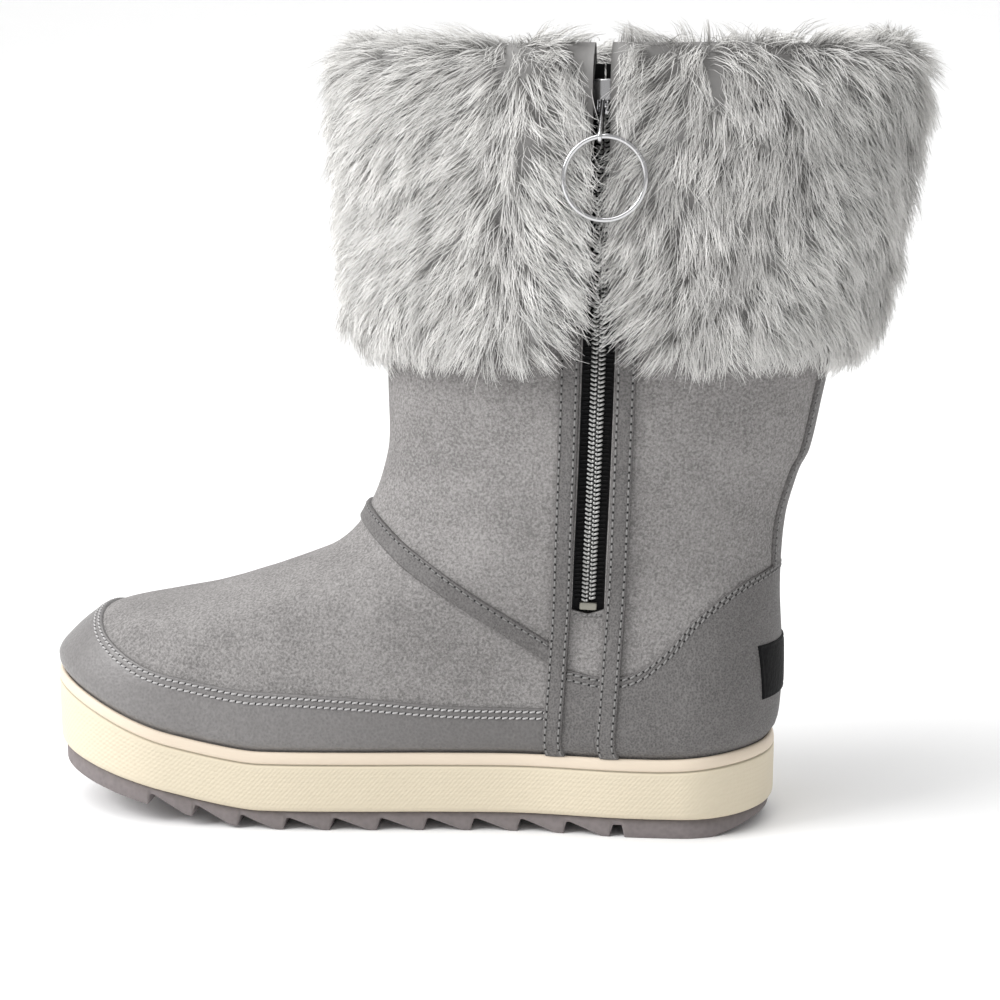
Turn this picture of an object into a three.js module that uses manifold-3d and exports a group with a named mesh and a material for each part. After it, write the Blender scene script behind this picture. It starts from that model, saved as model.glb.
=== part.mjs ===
// Right-foot winter boot, in millimetres.
// The toe points to -X and the inner, zipped side to -Y. The floor is z = 0, and the origin is
// the middle of the heel's flat contact with it.
import * as THREE from 'three';
import Module from 'manifold-3d';
import { mergeVertices } from 'three/addons/utils/BufferGeometryUtils.js';

const wasm = await Module();
wasm.setup();

// Lengths and widths of the foot
const soleLength = 276;
const heelReach = 38;
const ballWidth = 102;
const toeCurl = 5;
const instepHeight = 113;

// Shaft
const shaftBase = 140;
const shaftTop = 278;
const ankleDepth = 155.5;
const collarDepth = 184;
const shaftWidth = 84;
const shaftLean = 4.5;

// Sole stack
const treadDepth = 4.6;
const treadBase = 2.5;
const treadPitch = 17.25;
const treadLand = 2.6;
const treadUndercut = 1.3;
const treadInset = 1.8;
const lastTooth = -21.5;
const toothCount = 10;
const toeFacets = 4;
const heelFlat = 32;
const heelBevel = 5.5;
const heelUndercut = 1;
const wallHeight = 22.6;
const wallBevel = 1.4;
const wallBevelHeight = 1.8;
const wallDraft = 0.1;
const toeBumper = 6.6;
const heelBumper = 2;
const rimHeight = 4.6;
const rimWidth = 2.4;
const rimGroove = 0.8;
const grooveFoot = 0.6;
const grooveHead = 0.9;
const rimDraft = 0.3;
const rimRound = 1.1;
const rimRoundHeight = 1.6;
const cupDepth = 9;
const springStart = 188;
const springRise = 0.226;
const springEase = 15;
const insoleThickness = 4.5;
const insoleRound = 1.5;

// Leather and fit
const upperWall = 2.2;
const overlayThickness = 0.9;
const stripThickness = 0.8;
const pipingThickness = 1.3;
const fit = 0.3;

// Overlays
const randHeight = 15;
const sideSeam = 79;
const counterHeight = 75;
const pipingWidth = 7;
const stayWidth = 21;
const badgeWidth = 46;
const badgeThickness = 0.5;
const badgeHeight = 20;
const badgeFoot = 49.5;

// Zip
const zipAlong = 71.2;
const zipBend = 7.35;
const zipGap = 12.2;
const zipFoot = 84.3;
const stripWidth = 7.4;
const tapeWidth = 24;
const tapeThickness = 0.8;
const tapeSplit = 0.6;
const chainWidth = 6.2;
const stopWidth = 6.4;
const stopHeight = 2.7;
const hemDrop = 1;
const slideDrop = 13;
const slideHeight = shaftTop - slideDrop;
const slideLength = 12;
const slideWidth = 9;
const slideFace = 2;
const slideCorner = 2;
const slideShoulder = 5;
const slideCheek = 1.3;
const cheekRadius = 2;
const pinReach = 6.2;
const pinRise = 3;
const pinRadius = 0.9;
const pinClearance = 0.4;
const linkThickness = 1.6;
const linkWidth = 4.6;
const linkLength = 16;
const linkTilt = 50;
const ringRadius = 13.8;
const ringLean = 7;
const ringWire = 1.8;
const ringBay = 54;
const ringGap = 1.2;

// Fur cuff
const cuffFoot = 175;
const cuffRise = 10;
const cuffTop = shaftTop + cuffRise;
const cuffLoft = 18;
const cuffInside = 6;
const cuffTuck = 20;
const cuffSlit = 3;
const cuffVee = 24;
const cuffVeeHeight = 31;
const cuffHem = 2;
const cuffHemRound = 12;
const cuffBackRise = 5;
const cuffBrow = 2;
const cuffBrowRound = 5;
const cuffPlay = 1.5;
const lockLength = 24;
const lockRadius = 10;
const lockFlatness = 0.55;
const lockDrop = 14;
const lockRows = 4;
const locksAround = 15;

// Number of faces round a section
const SECTIONS_ROUND = 40;
const CUFF_ROUND = 32;

// Half widths of the sole, as shares of ballWidth, at shares of the length from the heel.
const OUTLINE = [
  { along: 0.00, medial: 0.385, lateral: 0.385, shift: 0.0 },
  { along: 0.10, medial: 0.402, lateral: 0.402, shift: 0.0 },
  { along: 0.20, medial: 0.412, lateral: 0.414, shift: 0.0 },
  { along: 0.33, medial: 0.389, lateral: 0.430, shift: 0.0 },
  { along: 0.45, medial: 0.416, lateral: 0.455, shift: 0.0 },
  { along: 0.55, medial: 0.451, lateral: 0.492, shift: 0.0 },
  { along: 0.65, medial: 0.478, lateral: 0.522, shift: 0.0 },
  { along: 0.75, medial: 0.472, lateral: 0.518, shift: 0.2 },
  { along: 0.87, medial: 0.440, lateral: 0.480, shift: 0.6 },
  { along: 1.00, medial: 0.410, lateral: 0.440, shift: 1.0 },
];
// Length of the rounded heel and toe, as shares of soleLength
const HEEL_ROUND = 0.125;
const TOE_ROUND = 0.185;

// Sections of the foot, from just above the cup to the ankle. front and back are the ends of a
// section, along as shares of soleLength from the heel and up as shares of instepHeight. width is
// a share of the sole's outline, oval blends it to an oval as wide as the shaft, and sag is how
// much of the sole's own curve the section keeps.
const FOOT = [
  { frontAlong: 0.9955, frontUp: 0.512, backAlong: 0.0010, backUp: 0.330, width: 0.975, oval: 0.02, sag: 1.0 },
  { frontAlong: 0.9800, frontUp: 0.563, backAlong: -0.0030, backUp: 0.415, width: 0.985, oval: 0.06, sag: 0.8 },
  { frontAlong: 0.9530, frontUp: 0.622, backAlong: -0.0035, backUp: 0.505, width: 0.965, oval: 0.12, sag: 0.5 },
  { frontAlong: 0.9245, frontUp: 0.664, backAlong: -0.0025, backUp: 0.595, width: 0.945, oval: 0.22, sag: 0.25 },
  { frontAlong: 0.8795, frontUp: 0.686, backAlong: 0.0000, backUp: 0.680, width: 0.930, oval: 0.36, sag: 0.1 },
  { frontAlong: 0.8047, frontUp: 0.721, backAlong: 0.0020, backUp: 0.765, width: 0.920, oval: 0.56, sag: 0.0 },
  { frontAlong: 0.7278, frontUp: 0.776, backAlong: 0.0020, backUp: 0.850, width: 0.920, oval: 0.75, sag: 0.0 },
  { frontAlong: 0.6591, frontUp: 0.835, backAlong: 0.0010, backUp: 0.922, width: 0.920, oval: 0.90, sag: 0.0 },
  { frontAlong: 0.6090, frontUp: 0.886, backAlong: -0.0010, backUp: 0.985, width: 0.920, oval: 1.00, sag: 0.0 },
  { frontAlong: 0.5740, frontUp: 0.962, backAlong: -0.0045, backUp: 1.045, width: 0.920, oval: 1.00, sag: 0.0 },
  { frontAlong: 0.5530, frontUp: 1.055, backAlong: -0.0120, backUp: 1.115, width: 0.920, oval: 1.00, sag: 0.0 },
  { frontAlong: 0.5398, frontUp: 1.142, backAlong: -0.0205, backUp: 1.180, width: 0.920, oval: 1.00, sag: 0.0 },
];
// Levels of the shaft's sections, as shares of the way from shaftBase to shaftTop
const SHAFT_LEVELS = [0, 0.14, 0.34, 0.62, 1];
// Front of the shaft as a share of soleLength, and the ankle's width as a share of shaftWidth
const SHAFT_FRONT = 0.5312;
const ANKLE_WIDTH = 0.97;

// Seams, along as shares of soleLength from the heel. Heights are shares of the size each follows.
const APRON_SEAM = [
  { along: 0.250, rise: 1.15 },
  { along: 0.422, rise: 1.17 },
  { along: 0.554, rise: 1.36 },
  { along: 0.662, rise: 1.46 },
  { along: 0.768, rise: 1.45 },
  { along: 0.842, rise: 1.41 },
  { along: 0.888, rise: 1.49 },
  { along: 0.919, rise: 1.66 },
  { along: 0.937, rise: 2.05 },
  { along: 0.957, rise: 3.20 },
];
const COUNTER_SEAM = [
  { along: 0.294, rise: 0.416 },
  { along: 0.270, rise: 0.395 },
  { along: 0.232, rise: 0.37 },
  { along: 0.191, rise: 0.385 },
  { along: 0.152, rise: 0.475 },
  { along: 0.100, rise: 0.67 },
  { along: 0.050, rise: 0.80 },
  { along: -0.004, rise: 0.88 },
  { along: -0.060, rise: 0.95 },
];
const PIPING_LINE = [
  { along: 0.600, rise: 1.050 },
  { along: 0.550, rise: 0.992 },
  { along: 0.499, rise: 0.910 },
  { along: 0.437, rise: 0.822 },
  { along: 0.358, rise: 0.698 },
  { along: 0.260, rise: 0.545 },
];

// Colours and finishes
const colours = {
  suede: { color: 0x8f8d8c, roughness: 0.95, metalness: 0 },
  leather: { color: 0x87858a, roughness: 0.6, metalness: 0 },
  cream: { color: 0xf1e6cf, roughness: 0.7, metalness: 0 },
  tread: { color: 0x8d888a, roughness: 0.85, metalness: 0 },
  insole: { color: 0xb9b6b2, roughness: 0.95, metalness: 0 },
  fur: { color: 0xc4c3c1, roughness: 1, metalness: 0 },
  zip: { color: 0x2c2c2e, roughness: 0.6, metalness: 0 },
  stop: { color: 0x77766c, roughness: 0.5, metalness: 0.6 },
  steel: { color: 0xd5d5d8, roughness: 0.25, metalness: 1 },
  badge: { color: 0x1c1c1e, roughness: 0.6, metalness: 0 },
};

const part = new THREE.Group();
const lerp = THREE.MathUtils.lerp;

// Geometry to solid and back

function solidOf(geometry) {
  geometry.deleteAttribute('normal');
  geometry.deleteAttribute('uv');
  const merged = mergeVertices(geometry, 1e-5);
  return new wasm.Manifold(new wasm.Mesh({
    numProp: 3,
    vertProperties: Float32Array.from(merged.attributes.position.array),
    triVerts: Uint32Array.from(merged.index.array),
  }));
}

function addPart(name, solid, finish) {
  const mesh = solid.getMesh();
  const geometry = new THREE.BufferGeometry();
  geometry.setAttribute('position', new THREE.BufferAttribute(Float32Array.from(mesh.vertProperties), 3));
  geometry.setIndex(new THREE.BufferAttribute(Uint32Array.from(mesh.triVerts), 1));
  geometry.computeVertexNormals();
  const node = new THREE.Mesh(geometry, new THREE.MeshStandardMaterial(colours[finish]));
  node.name = name;
  part.add(node);
}

// Keeps the body that holds most of the material, where a cut leaves slivers beside it.
function mainBody(solid) {
  const bodies = solid.decompose();
  return bodies.reduce((best, body) => (body.volume() > best.volume() ? body : best));
}

// A closed solid through a stack of rings, each an array of Vector3 from the heel round by the
// outer side. open leaves the last ring joined to the first, as round the section of a tyre.
function stackSolid(rings, open = false) {
  const count = rings[0].length;
  const positions = [];
  rings.forEach((ring) => ring.forEach((p) => positions.push(p.x, p.y, p.z)));
  const faces = [];
  const at = (i, j) => i * count + ((j + count) % count);
  const face = (a, b, c) => faces.push(a, b, c);
  const bands = open ? rings.length : rings.length - 1;
  for (let i = 0; i < bands; i += 1) {
    const next = (i + 1) % rings.length;
    for (let j = 0; j < count; j += 1) {
      const corners = [at(i, j), at(i, j + 1), at(next, j + 1), at(next, j)];
      const point = (k) => new THREE.Vector3().fromArray(positions, corners[k] * 3);
      if (point(0).distanceTo(point(2)) < point(1).distanceTo(point(3))) {
        face(corners[0], corners[1], corners[2]);
        face(corners[0], corners[2], corners[3]);
      } else {
        face(corners[0], corners[1], corners[3]);
        face(corners[1], corners[2], corners[3]);
      }
    }
  }
  const cap = (i, turned) => {
    const put = turned ? (a, b, c) => face(a, c, b) : face;
    put(at(i, 0), at(i, -1), at(i, 1));
    for (let j = 1; j < count / 2 - 1; j += 1) {
      put(at(i, j), at(i, -j), at(i, -j - 1));
      put(at(i, j), at(i, -j - 1), at(i, j + 1));
    }
    put(at(i, count / 2 - 1), at(i, count / 2 + 1), at(i, count / 2));
  };
  if (!open) {
    cap(0, false);
    cap(rings.length - 1, true);
  }
  const geometry = new THREE.BufferGeometry();
  geometry.setAttribute('position', new THREE.Float32BufferAttribute(positions, 3));
  geometry.setIndex(faces);
  const solid = solidOf(geometry);
  if (solid.volume() > 0) return solid;
  const turnedFaces = [];
  for (let k = 0; k < faces.length; k += 3) turnedFaces.push(faces[k], faces[k + 2], faces[k + 1]);
  geometry.setIndex(turnedFaces);
  return solidOf(geometry);
}

// A solid with a side-view outline, points as [x, z], from one y to another.
function sideSolid(points, fromY, toY) {
  const shape = new THREE.Shape(points.map(([x, z]) => new THREE.Vector2(x, z)));
  const geometry = new THREE.ExtrudeGeometry(shape, { depth: toY - fromY, bevelEnabled: false });
  geometry.rotateX(Math.PI / 2);
  geometry.translate(0, toY, 0);
  return solidOf(geometry);
}

function boxSolid(low, high) {
  const geometry = new THREE.BoxGeometry(high[0] - low[0], high[1] - low[1], high[2] - low[2]);
  geometry.translate((low[0] + high[0]) / 2, (low[1] + high[1]) / 2, (low[2] + high[2]) / 2);
  return solidOf(geometry);
}

// Sole: outline and side profile

const alongToX = (along) => heelReach - along * soleLength;

// Smooth value between the rows of a table, by Catmull-Rom on its first column.
function between(table, key, column, value) {
  let i = 0;
  while (i < table.length - 2 && value > table[i + 1][key]) i += 1;
  const low = table[i];
  const high = table[i + 1];
  const before = table[Math.max(i - 1, 0)];
  const after = table[Math.min(i + 2, table.length - 1)];
  const width = high[key] - low[key];
  const t = (value - low[key]) / width;
  const slopeLow = (high[column] - before[column]) / (high[key] - before[key]) * width;
  const slopeHigh = (after[column] - low[column]) / (after[key] - low[key]) * width;
  const t2 = t * t;
  const t3 = t2 * t;
  return (2 * t3 - 3 * t2 + 1) * low[column] + (t3 - 2 * t2 + t) * slopeLow
    + (-2 * t3 + 3 * t2) * high[column] + (t3 - t2) * slopeHigh;
}

const roundEnd = (value, reach) => Math.sqrt(Math.max(0, 1 - Math.max(0, 1 - value / reach) ** 2));

// Sideways place of the sole's edge at a share of its length; side is 1 outwards and -1 inwards.
function edgeY(along, side) {
  const half = between(OUTLINE, 'along', side > 0 ? 'lateral' : 'medial', along) * ballWidth;
  const rounding = roundEnd(along, HEEL_ROUND) * roundEnd(1 - along, TOE_ROUND);
  return side * half * rounding - toeCurl * between(OUTLINE, 'along', 'shift', along);
}

// The sole's edge in plan, drawn in by an inset, with one point for each step round it.
function planRing(inset) {
  const edge = [];
  for (let j = 0; j < SECTIONS_ROUND; j += 1) {
    const angle = (j / SECTIONS_ROUND) * 2 * Math.PI;
    const along = (1 - Math.cos(angle)) / 2;
    edge.push(new THREE.Vector2(alongToX(along), edgeY(along, Math.sin(angle) < 0 ? -1 : 1)));
  }
  return edge.map((point, j) => {
    const before = edge[(j + SECTIONS_ROUND - 1) % SECTIONS_ROUND];
    const after = edge[(j + 1) % SECTIONS_ROUND];
    const outward = new THREE.Vector2(after.y - before.y, before.x - after.x).normalize();
    return point.clone().addScaledVector(outward, -inset);
  });
}

function toeSpring(x) {
  const past = Math.max(0, heelReach - springStart - x);
  return springRise * past * past / (past + springEase);
}

const easeIn = (value) => THREE.MathUtils.smoothstep(value, 0, 1);
const cupFoot = (x) => treadDepth + treadBase + fit + toeSpring(x);

function cupTop(x) {
  const along = (heelReach - x) / soleLength;
  const toe = toeBumper * easeIn((along - 0.8) / 0.22);
  const heel = heelBumper * easeIn((0.16 - along) / 0.14);
  return cupFoot(x) + wallHeight + toe + heel;
}

const cupFloor = (x) => cupTop(x) - cupDepth;
const raise = (ring, height) => ring.map((p) => new THREE.Vector3(p.x, p.y, height(p.x)));

// Outsole: a sheet that follows the cup, with saw teeth between a plain heel and a plain toe

function treadProfile() {
  const beyondHeel = heelReach + treadInset;
  const beyondToe = alongToX(1) - treadPitch;
  const points = [];
  const valley = (x) => [x, treadDepth + toeSpring(x)];
  const land = (x) => [x, toeSpring(x)];
  const toeTip = lastTooth - toothCount * treadPitch;
  for (let facet = 0; facet <= toeFacets; facet += 1) {
    points.push(land(lerp(beyondToe, toeTip, facet / toeFacets)));
  }
  points.push(valley(toeTip + treadUndercut));
  for (let k = toothCount - 1; k >= 0; k -= 1) {
    const tip = lastTooth - k * treadPitch;
    points.push(valley(tip - treadPitch + 2 * treadUndercut), land(tip - treadLand), land(tip));
    points.push(valley(tip + treadUndercut));
  }
  points.push(valley(-heelFlat / 2 - heelUndercut), land(-heelFlat / 2), land(heelFlat / 2));
  points.push([beyondHeel, heelBevel], [beyondHeel, cupTop(beyondToe)]);
  points.push([beyondToe, cupTop(beyondToe)]);
  return points;
}

function makeOutsole() {
  const rim = planRing(treadInset);
  const block = stackSolid([raise(rim, () => -1), raise(rim, (x) => cupFoot(x) - fit)]);
  return mainBody(block.intersect(sideSolid(treadProfile(), -ballWidth, ballWidth)));
}

// Cup sole: rings up the outer wall, over the rim and down to the cup's floor

function makeMidsole() {
  const rings = [
    raise(planRing(wallBevel), cupFoot),
    raise(planRing(wallDraft), (x) => cupFoot(x) + wallBevelHeight),
    raise(planRing(0), (x) => cupTop(x) - rimHeight - grooveFoot),
    raise(planRing(rimGroove), (x) => cupTop(x) - rimHeight),
    raise(planRing(wallDraft), (x) => cupTop(x) - rimHeight + grooveHead),
    raise(planRing(rimDraft), (x) => cupTop(x) - rimRoundHeight),
    raise(planRing(rimRound), cupTop),
    raise(planRing(rimWidth), cupTop),
    raise(planRing(rimWidth), cupFloor),
  ];
  return stackSolid(rings);
}

function makeInsole() {
  const inset = rimWidth + fit + upperWall + fit;
  const top = (x) => cupFloor(x) + fit + insoleThickness;
  const rings = [
    raise(planRing(inset), (x) => cupFloor(x) + fit),
    raise(planRing(inset), (x) => top(x) - insoleRound),
    raise(planRing(inset + insoleRound), top),
  ];
  return stackSolid(rings);
}

// Upper: one form over the last, from the cup's floor to the collar

function shaftEnds(level) {
  const share = (level - shaftBase) / (shaftTop - shaftBase);
  const depth = lerp(ankleDepth, collarDepth, share);
  const front = alongToX(SHAFT_FRONT) - shaftLean * share * share;
  return { front, back: front + depth, half: shaftWidth / 2 * lerp(ANKLE_WIDTH, 1, easeIn(share * 2)) };
}

function shaftRing(level) {
  const { front, back, half } = shaftEnds(level);
  const ring = [];
  for (let j = 0; j < SECTIONS_ROUND; j += 1) {
    const angle = (j / SECTIONS_ROUND) * 2 * Math.PI;
    const along = (1 - Math.cos(angle)) / 2;
    ring.push(new THREE.Vector3(lerp(back, front, along), half * Math.sin(angle), level));
  }
  return ring;
}

function footRing(row) {
  const front = alongToX(row.frontAlong);
  const back = alongToX(row.backAlong);
  const soleBack = cupTop(alongToX(0));
  const soleFront = cupTop(alongToX(1));
  const ring = [];
  for (let j = 0; j < SECTIONS_ROUND; j += 1) {
    const angle = (j / SECTIONS_ROUND) * 2 * Math.PI;
    const along = (1 - Math.cos(angle)) / 2;
    const side = Math.sin(angle) < 0 ? -1 : 1;
    const x = lerp(back, front, along);
    const plan = edgeY(along, side) * row.width;
    const oval = Math.sin(angle) * shaftWidth / 2 * ANKLE_WIDTH;
    const chord = lerp(row.backUp, row.frontUp, along) * instepHeight;
    const sag = (cupTop(alongToX(along)) - lerp(soleBack, soleFront, along)) * row.sag;
    ring.push(new THREE.Vector3(x, lerp(plan, oval, row.oval), chord + sag));
  }
  return ring;
}

function lastRings(below = 0, above = 0) {
  const tuck = planRing(rimWidth + fit);
  const rings = [
    raise(tuck, (x) => cupFloor(x) + fit - below),
    raise(tuck, (x) => cupTop(x) + fit),
    ...FOOT.map(footRing),
    ...SHAFT_LEVELS.map((share) => shaftRing(lerp(shaftBase, shaftTop, share))),
  ];
  if (above > 0) rings.push(shaftRing(shaftTop + above));
  return rings;
}

// The form grown outwards by an offset. below and above push its ends on, for cutting.
function lastForm(offset, below = 0, above = 0) {
  const rings = lastRings(below, above);
  const count = SECTIONS_ROUND;
  const grown = rings.map((ring, i) => ring.map((point, j) => {
    const up = rings[Math.min(i + 1, rings.length - 1)][j].clone().sub(rings[Math.max(i - 1, 0)][j]);
    const around = ring[(j + 1) % count].clone().sub(ring[(j + count - 1) % count]);
    const normal = around.cross(up);
    if (i < 2) normal.setZ(0);
    normal.normalize();
    return point.clone().addScaledVector(normal, offset);
  }));
  return stackSolid(grown);
}

function makeUpper() {
  const wall = lastForm(0).subtract(lastForm(-upperWall, upperWall, upperWall));
  return mainBody(wall.subtract(zipColumn(zipGap / 2 - fit, zipFoot, shaftTop + cuffTuck)));
}

// Overlays: skins between two larger forms, cut to their panels in side view

const skin = (low, high) => lastForm(high).subtract(lastForm(low, upperWall, upperWall));
const seamPoints = (table, height) => table.map((row) => [alongToX(row.along), height(row)]);
const aboveCup = (x) => cupTop(x) + 2 * fit;

// Points along the top of the cup from one x to another, a step apart as its rings are.
function cupLine(fromX, toX) {
  const points = [];
  for (let j = 0; j <= SECTIONS_ROUND / 2; j += 1) {
    points.push(alongToX((1 - Math.cos((2 * j / SECTIONS_ROUND) * Math.PI)) / 2));
  }
  const inside = points.filter((x) => x < Math.max(fromX, toX) && x > Math.min(fromX, toX));
  const ordered = [fromX, ...(fromX > toX ? inside : inside.reverse()), toX];
  return ordered.map((x) => [x, aboveCup(x)]);
}

// Side-view outline of the rand: the apron seam above, the cup below, the side seam behind.
function randOutline(play) {
  const seamX = heelReach - sideSeam - play;
  const seam = seamPoints(APRON_SEAM, (row) => aboveCup(alongToX(row.along)) + randHeight * row.rise);
  const top = seam.filter(([x]) => x < seamX);
  const first = [seamX, aboveCup(seamX) + randHeight * APRON_SEAM[0].rise];
  const beyondToe = alongToX(1) - randHeight;
  const crown = instepHeight;
  return [first, ...top, [top[top.length - 1][0], crown], [beyondToe, crown], ...cupLine(beyondToe, seamX)];
}

// Side-view outline of the counter: its curved seam above and the side seam in front.
function counterOutline() {
  const seamX = heelReach - sideSeam + fit;
  const base = (row) => aboveCup(alongToX(0)) + counterHeight * row.rise;
  const seam = seamPoints(COUNTER_SEAM, base).filter(([x]) => x > seamX);
  const beyondHeel = seam[seam.length - 1][0];
  const first = [seamX, base(COUNTER_SEAM[0])];
  return [first, ...seam, ...cupLine(beyondHeel, seamX)];
}

// Side-view band of the piping, half its width either side of its line.
function pipingOutline(play) {
  const line = seamPoints(PIPING_LINE, (row) => instepHeight * row.rise)
    .map(([x, z]) => new THREE.Vector2(x, z));
  const offsetLine = (side) => line.map((point, i) => {
    const ahead = line[Math.min(i + 1, line.length - 1)];
    const behind = line[Math.max(i - 1, 0)];
    const across = new THREE.Vector2(behind.y - ahead.y, ahead.x - behind.x).normalize();
    return point.clone().addScaledVector(across, side * (pipingWidth / 2 + play));
  });
  return [...offsetLine(1), ...offsetLine(-1).reverse()].map((p) => [p.x, p.y]);
}

const layer = fit + overlayThickness;
const makeRand = () => mainBody(skin(fit, layer).intersect(sideSolid(randOutline(fit), -ballWidth, ballWidth)));

function makeCounter() {
  return mainBody(skin(fit, layer).intersect(sideSolid(counterOutline(), -ballWidth, ballWidth)));
}

function makePiping() {
  const band = sideSolid(pipingOutline(0), -ballWidth, ballWidth);
  const edge = heelReach - sideSeam;
  const behind = boxSolid([edge, 0, 0], [heelReach, ballWidth, shaftTop]);
  const front = zipColumn(zipGap / 2 + stripWidth + fit, 0, shaftTop);
  const beyondZip = boxSolid([edge, -ballWidth, 0], [heelReach, 0, shaftTop]);
  const solid = skin(fit, fit + pipingThickness).intersect(band);
  return mainBody(solid.subtract(behind).subtract(front).subtract(beyondZip));
}

function makeStay() {
  const foot = aboveCup(alongToX(0)) + counterHeight;
  const box = boxSolid([0, -stayWidth / 2, foot], [soleLength, stayWidth / 2, shaftTop - hemDrop]);
  const counter = sideSolid(counterOutline().map(([x, z]) => [x, z + fit]), -ballWidth, ballWidth);
  return mainBody(skin(fit, layer).intersect(box).subtract(counter));
}

function makeBadge() {
  const box = boxSolid(
    [0, -badgeWidth / 2, badgeFoot],
    [soleLength, badgeWidth / 2, badgeFoot + badgeHeight],
  );
  return mainBody(skin(layer + fit, layer + fit + badgeThickness).intersect(box));
}

// Zip: up the inner side, leaning back a little at its foot

function zipX(z) {
  const drop = (shaftTop - z) / (shaftTop - cupTop(alongToX(0)));
  return alongToX(0) - zipAlong + zipBend * (1 - drop * drop);
}

// The part of the inner side within a reach of the zip's line, or between two reaches of it.
function zipColumn(reach, low, high, otherReach = -reach) {
  const steps = 6;
  const edge = (offset) => Array.from({ length: steps + 1 }, (_, i) => {
    const z = lerp(low, high, i / steps);
    return [zipX(z) + offset, z];
  });
  return sideSolid([...edge(reach), ...edge(otherReach).reverse()], -ballWidth, 0);
}

function makeStrip(side) {
  const inner = side * zipGap / 2;
  const outer = side * (zipGap / 2 + stripWidth);
  const hem = shaftTop - hemDrop;
  const column = zipColumn(Math.max(inner, outer), 0, hem, Math.min(inner, outer));
  const above = sideSolid([
    ...cupLine(alongToX(0.5), alongToX(0)),
    [alongToX(0), shaftTop + 1],
    [alongToX(0.5), shaftTop + 1],
  ], -ballWidth, 0);
  const top = layer + fit + stripThickness;
  const under = skin(-fit, layer + fit);
  const moved = (outline, [right, rise]) => sideSolid(
    outline.map(([x, z]) => [x + right, z + rise]),
    -ballWidth,
    0,
  );
  const leather = [counterOutline(), randOutline(-fit)]
    .flatMap((outline) => [[0, fit], [0, -fit], [fit, 0], [-fit, 0]].map((step) => moved(outline, step)))
    .reduce((all, panel) => all.add(panel));
  return mainBody(skin(fit, top).intersect(column).intersect(above).subtract(under.intersect(leather)));
}

function makeTape(side) {
  const low = -upperWall - fit - tapeThickness;
  const inner = side * tapeSplit / 2;
  const outer = side * tapeWidth / 2;
  const top = shaftTop - 2 * hemDrop;
  const column = zipColumn(Math.max(inner, outer), zipFoot - hemDrop, top, Math.min(inner, outer));
  return mainBody(skin(low, -upperWall - fit).intersect(column));
}

function makeChain() {
  const column = zipColumn(chainWidth / 2, zipFoot + stopHeight + 2 * fit, slideHeight + slideLength / 2);
  const slider = boxSolid(
    [-soleLength, -ballWidth, slideHeight - slideLength / 2 - fit],
    [heelReach, 0, slideHeight + slideLength],
  );
  return mainBody(skin(-upperWall, fit).intersect(column).subtract(slider));
}

// A plain block as large as the wall's own cut at the foot of the zip.
function makeStop() {
  const column = zipColumn(stopWidth / 2, zipFoot + fit, zipFoot + fit + stopHeight);
  const { min, max } = skin(-upperWall + fit, 2 * fit).intersect(column).boundingBox();
  return boxSolid([min[0], min[1], min[2]], [max[0], max[1] - fit, max[2]]);
}

// Slider, link and ring

const zipFace = -shaftEnds(slideHeight).half;
const slideX = zipX(slideHeight);
const pinY = zipFace - pinReach;
const pinZ = slideHeight - slideLength / 2 + pinRise;

// A cylinder along X through a point, given its radius and its two ends.
function crossPin(radius, fromX, toX, y, z) {
  const geometry = new THREE.CylinderGeometry(radius, radius, toX - fromX, 12);
  geometry.rotateZ(Math.PI / 2);
  geometry.translate((fromX + toX) / 2, y, z);
  return solidOf(geometry);
}

function makeSlider() {
  const backY = zipFace + upperWall;
  const faceY = zipFace - slideFace;
  const low = slideHeight - slideLength / 2;
  const high = slideHeight + slideLength / 2;
  const outline = new THREE.Shape();
  const half = slideWidth / 2;
  outline.moveTo(slideCorner - half, low);
  outline.lineTo(half - slideCorner, low);
  outline.lineTo(half, low + slideShoulder);
  outline.lineTo(half, high - slideCorner);
  outline.lineTo(half - slideCorner, high);
  outline.lineTo(slideCorner - half, high);
  outline.lineTo(-half, high - slideCorner);
  outline.lineTo(-half, low + slideShoulder);
  const geometry = new THREE.ExtrudeGeometry(outline, { depth: backY - faceY, bevelEnabled: false });
  geometry.rotateX(Math.PI / 2);
  geometry.translate(slideX, backY, 0);
  let solid = solidOf(geometry);
  const cheekIn = linkThickness / 2 + fit;
  for (const side of [-1, 1]) {
    const inner = slideX + side * cheekIn;
    const outer = slideX + side * (cheekIn + slideCheek);
    const x = [Math.min(inner, outer), Math.max(inner, outer)];
    const cheek = boxSolid([x[0], pinY, pinZ - cheekRadius], [x[1], zipFace, pinZ + cheekRadius]);
    solid = solid.add(cheek).add(crossPin(cheekRadius, x[0], x[1], pinY, pinZ));
  }
  const reach = cheekIn + slideCheek;
  return solid.add(crossPin(pinRadius, slideX - reach, slideX + reach, pinY, pinZ));
}

// The link hangs from the pin, tilted out over the fur; the ring's top passes through its eye.
const tilt = THREE.MathUtils.degToRad(linkTilt);
const eye = { y: pinY - linkLength * Math.sin(tilt), z: pinZ - linkLength * Math.cos(tilt) };

// From the link's eye to the middle of the ring, which leans a little to the heel as it hangs
const lean = THREE.MathUtils.degToRad(ringLean);
const ringHang = { x: ringRadius * Math.sin(lean), z: ringRadius * Math.cos(lean) };

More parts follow.
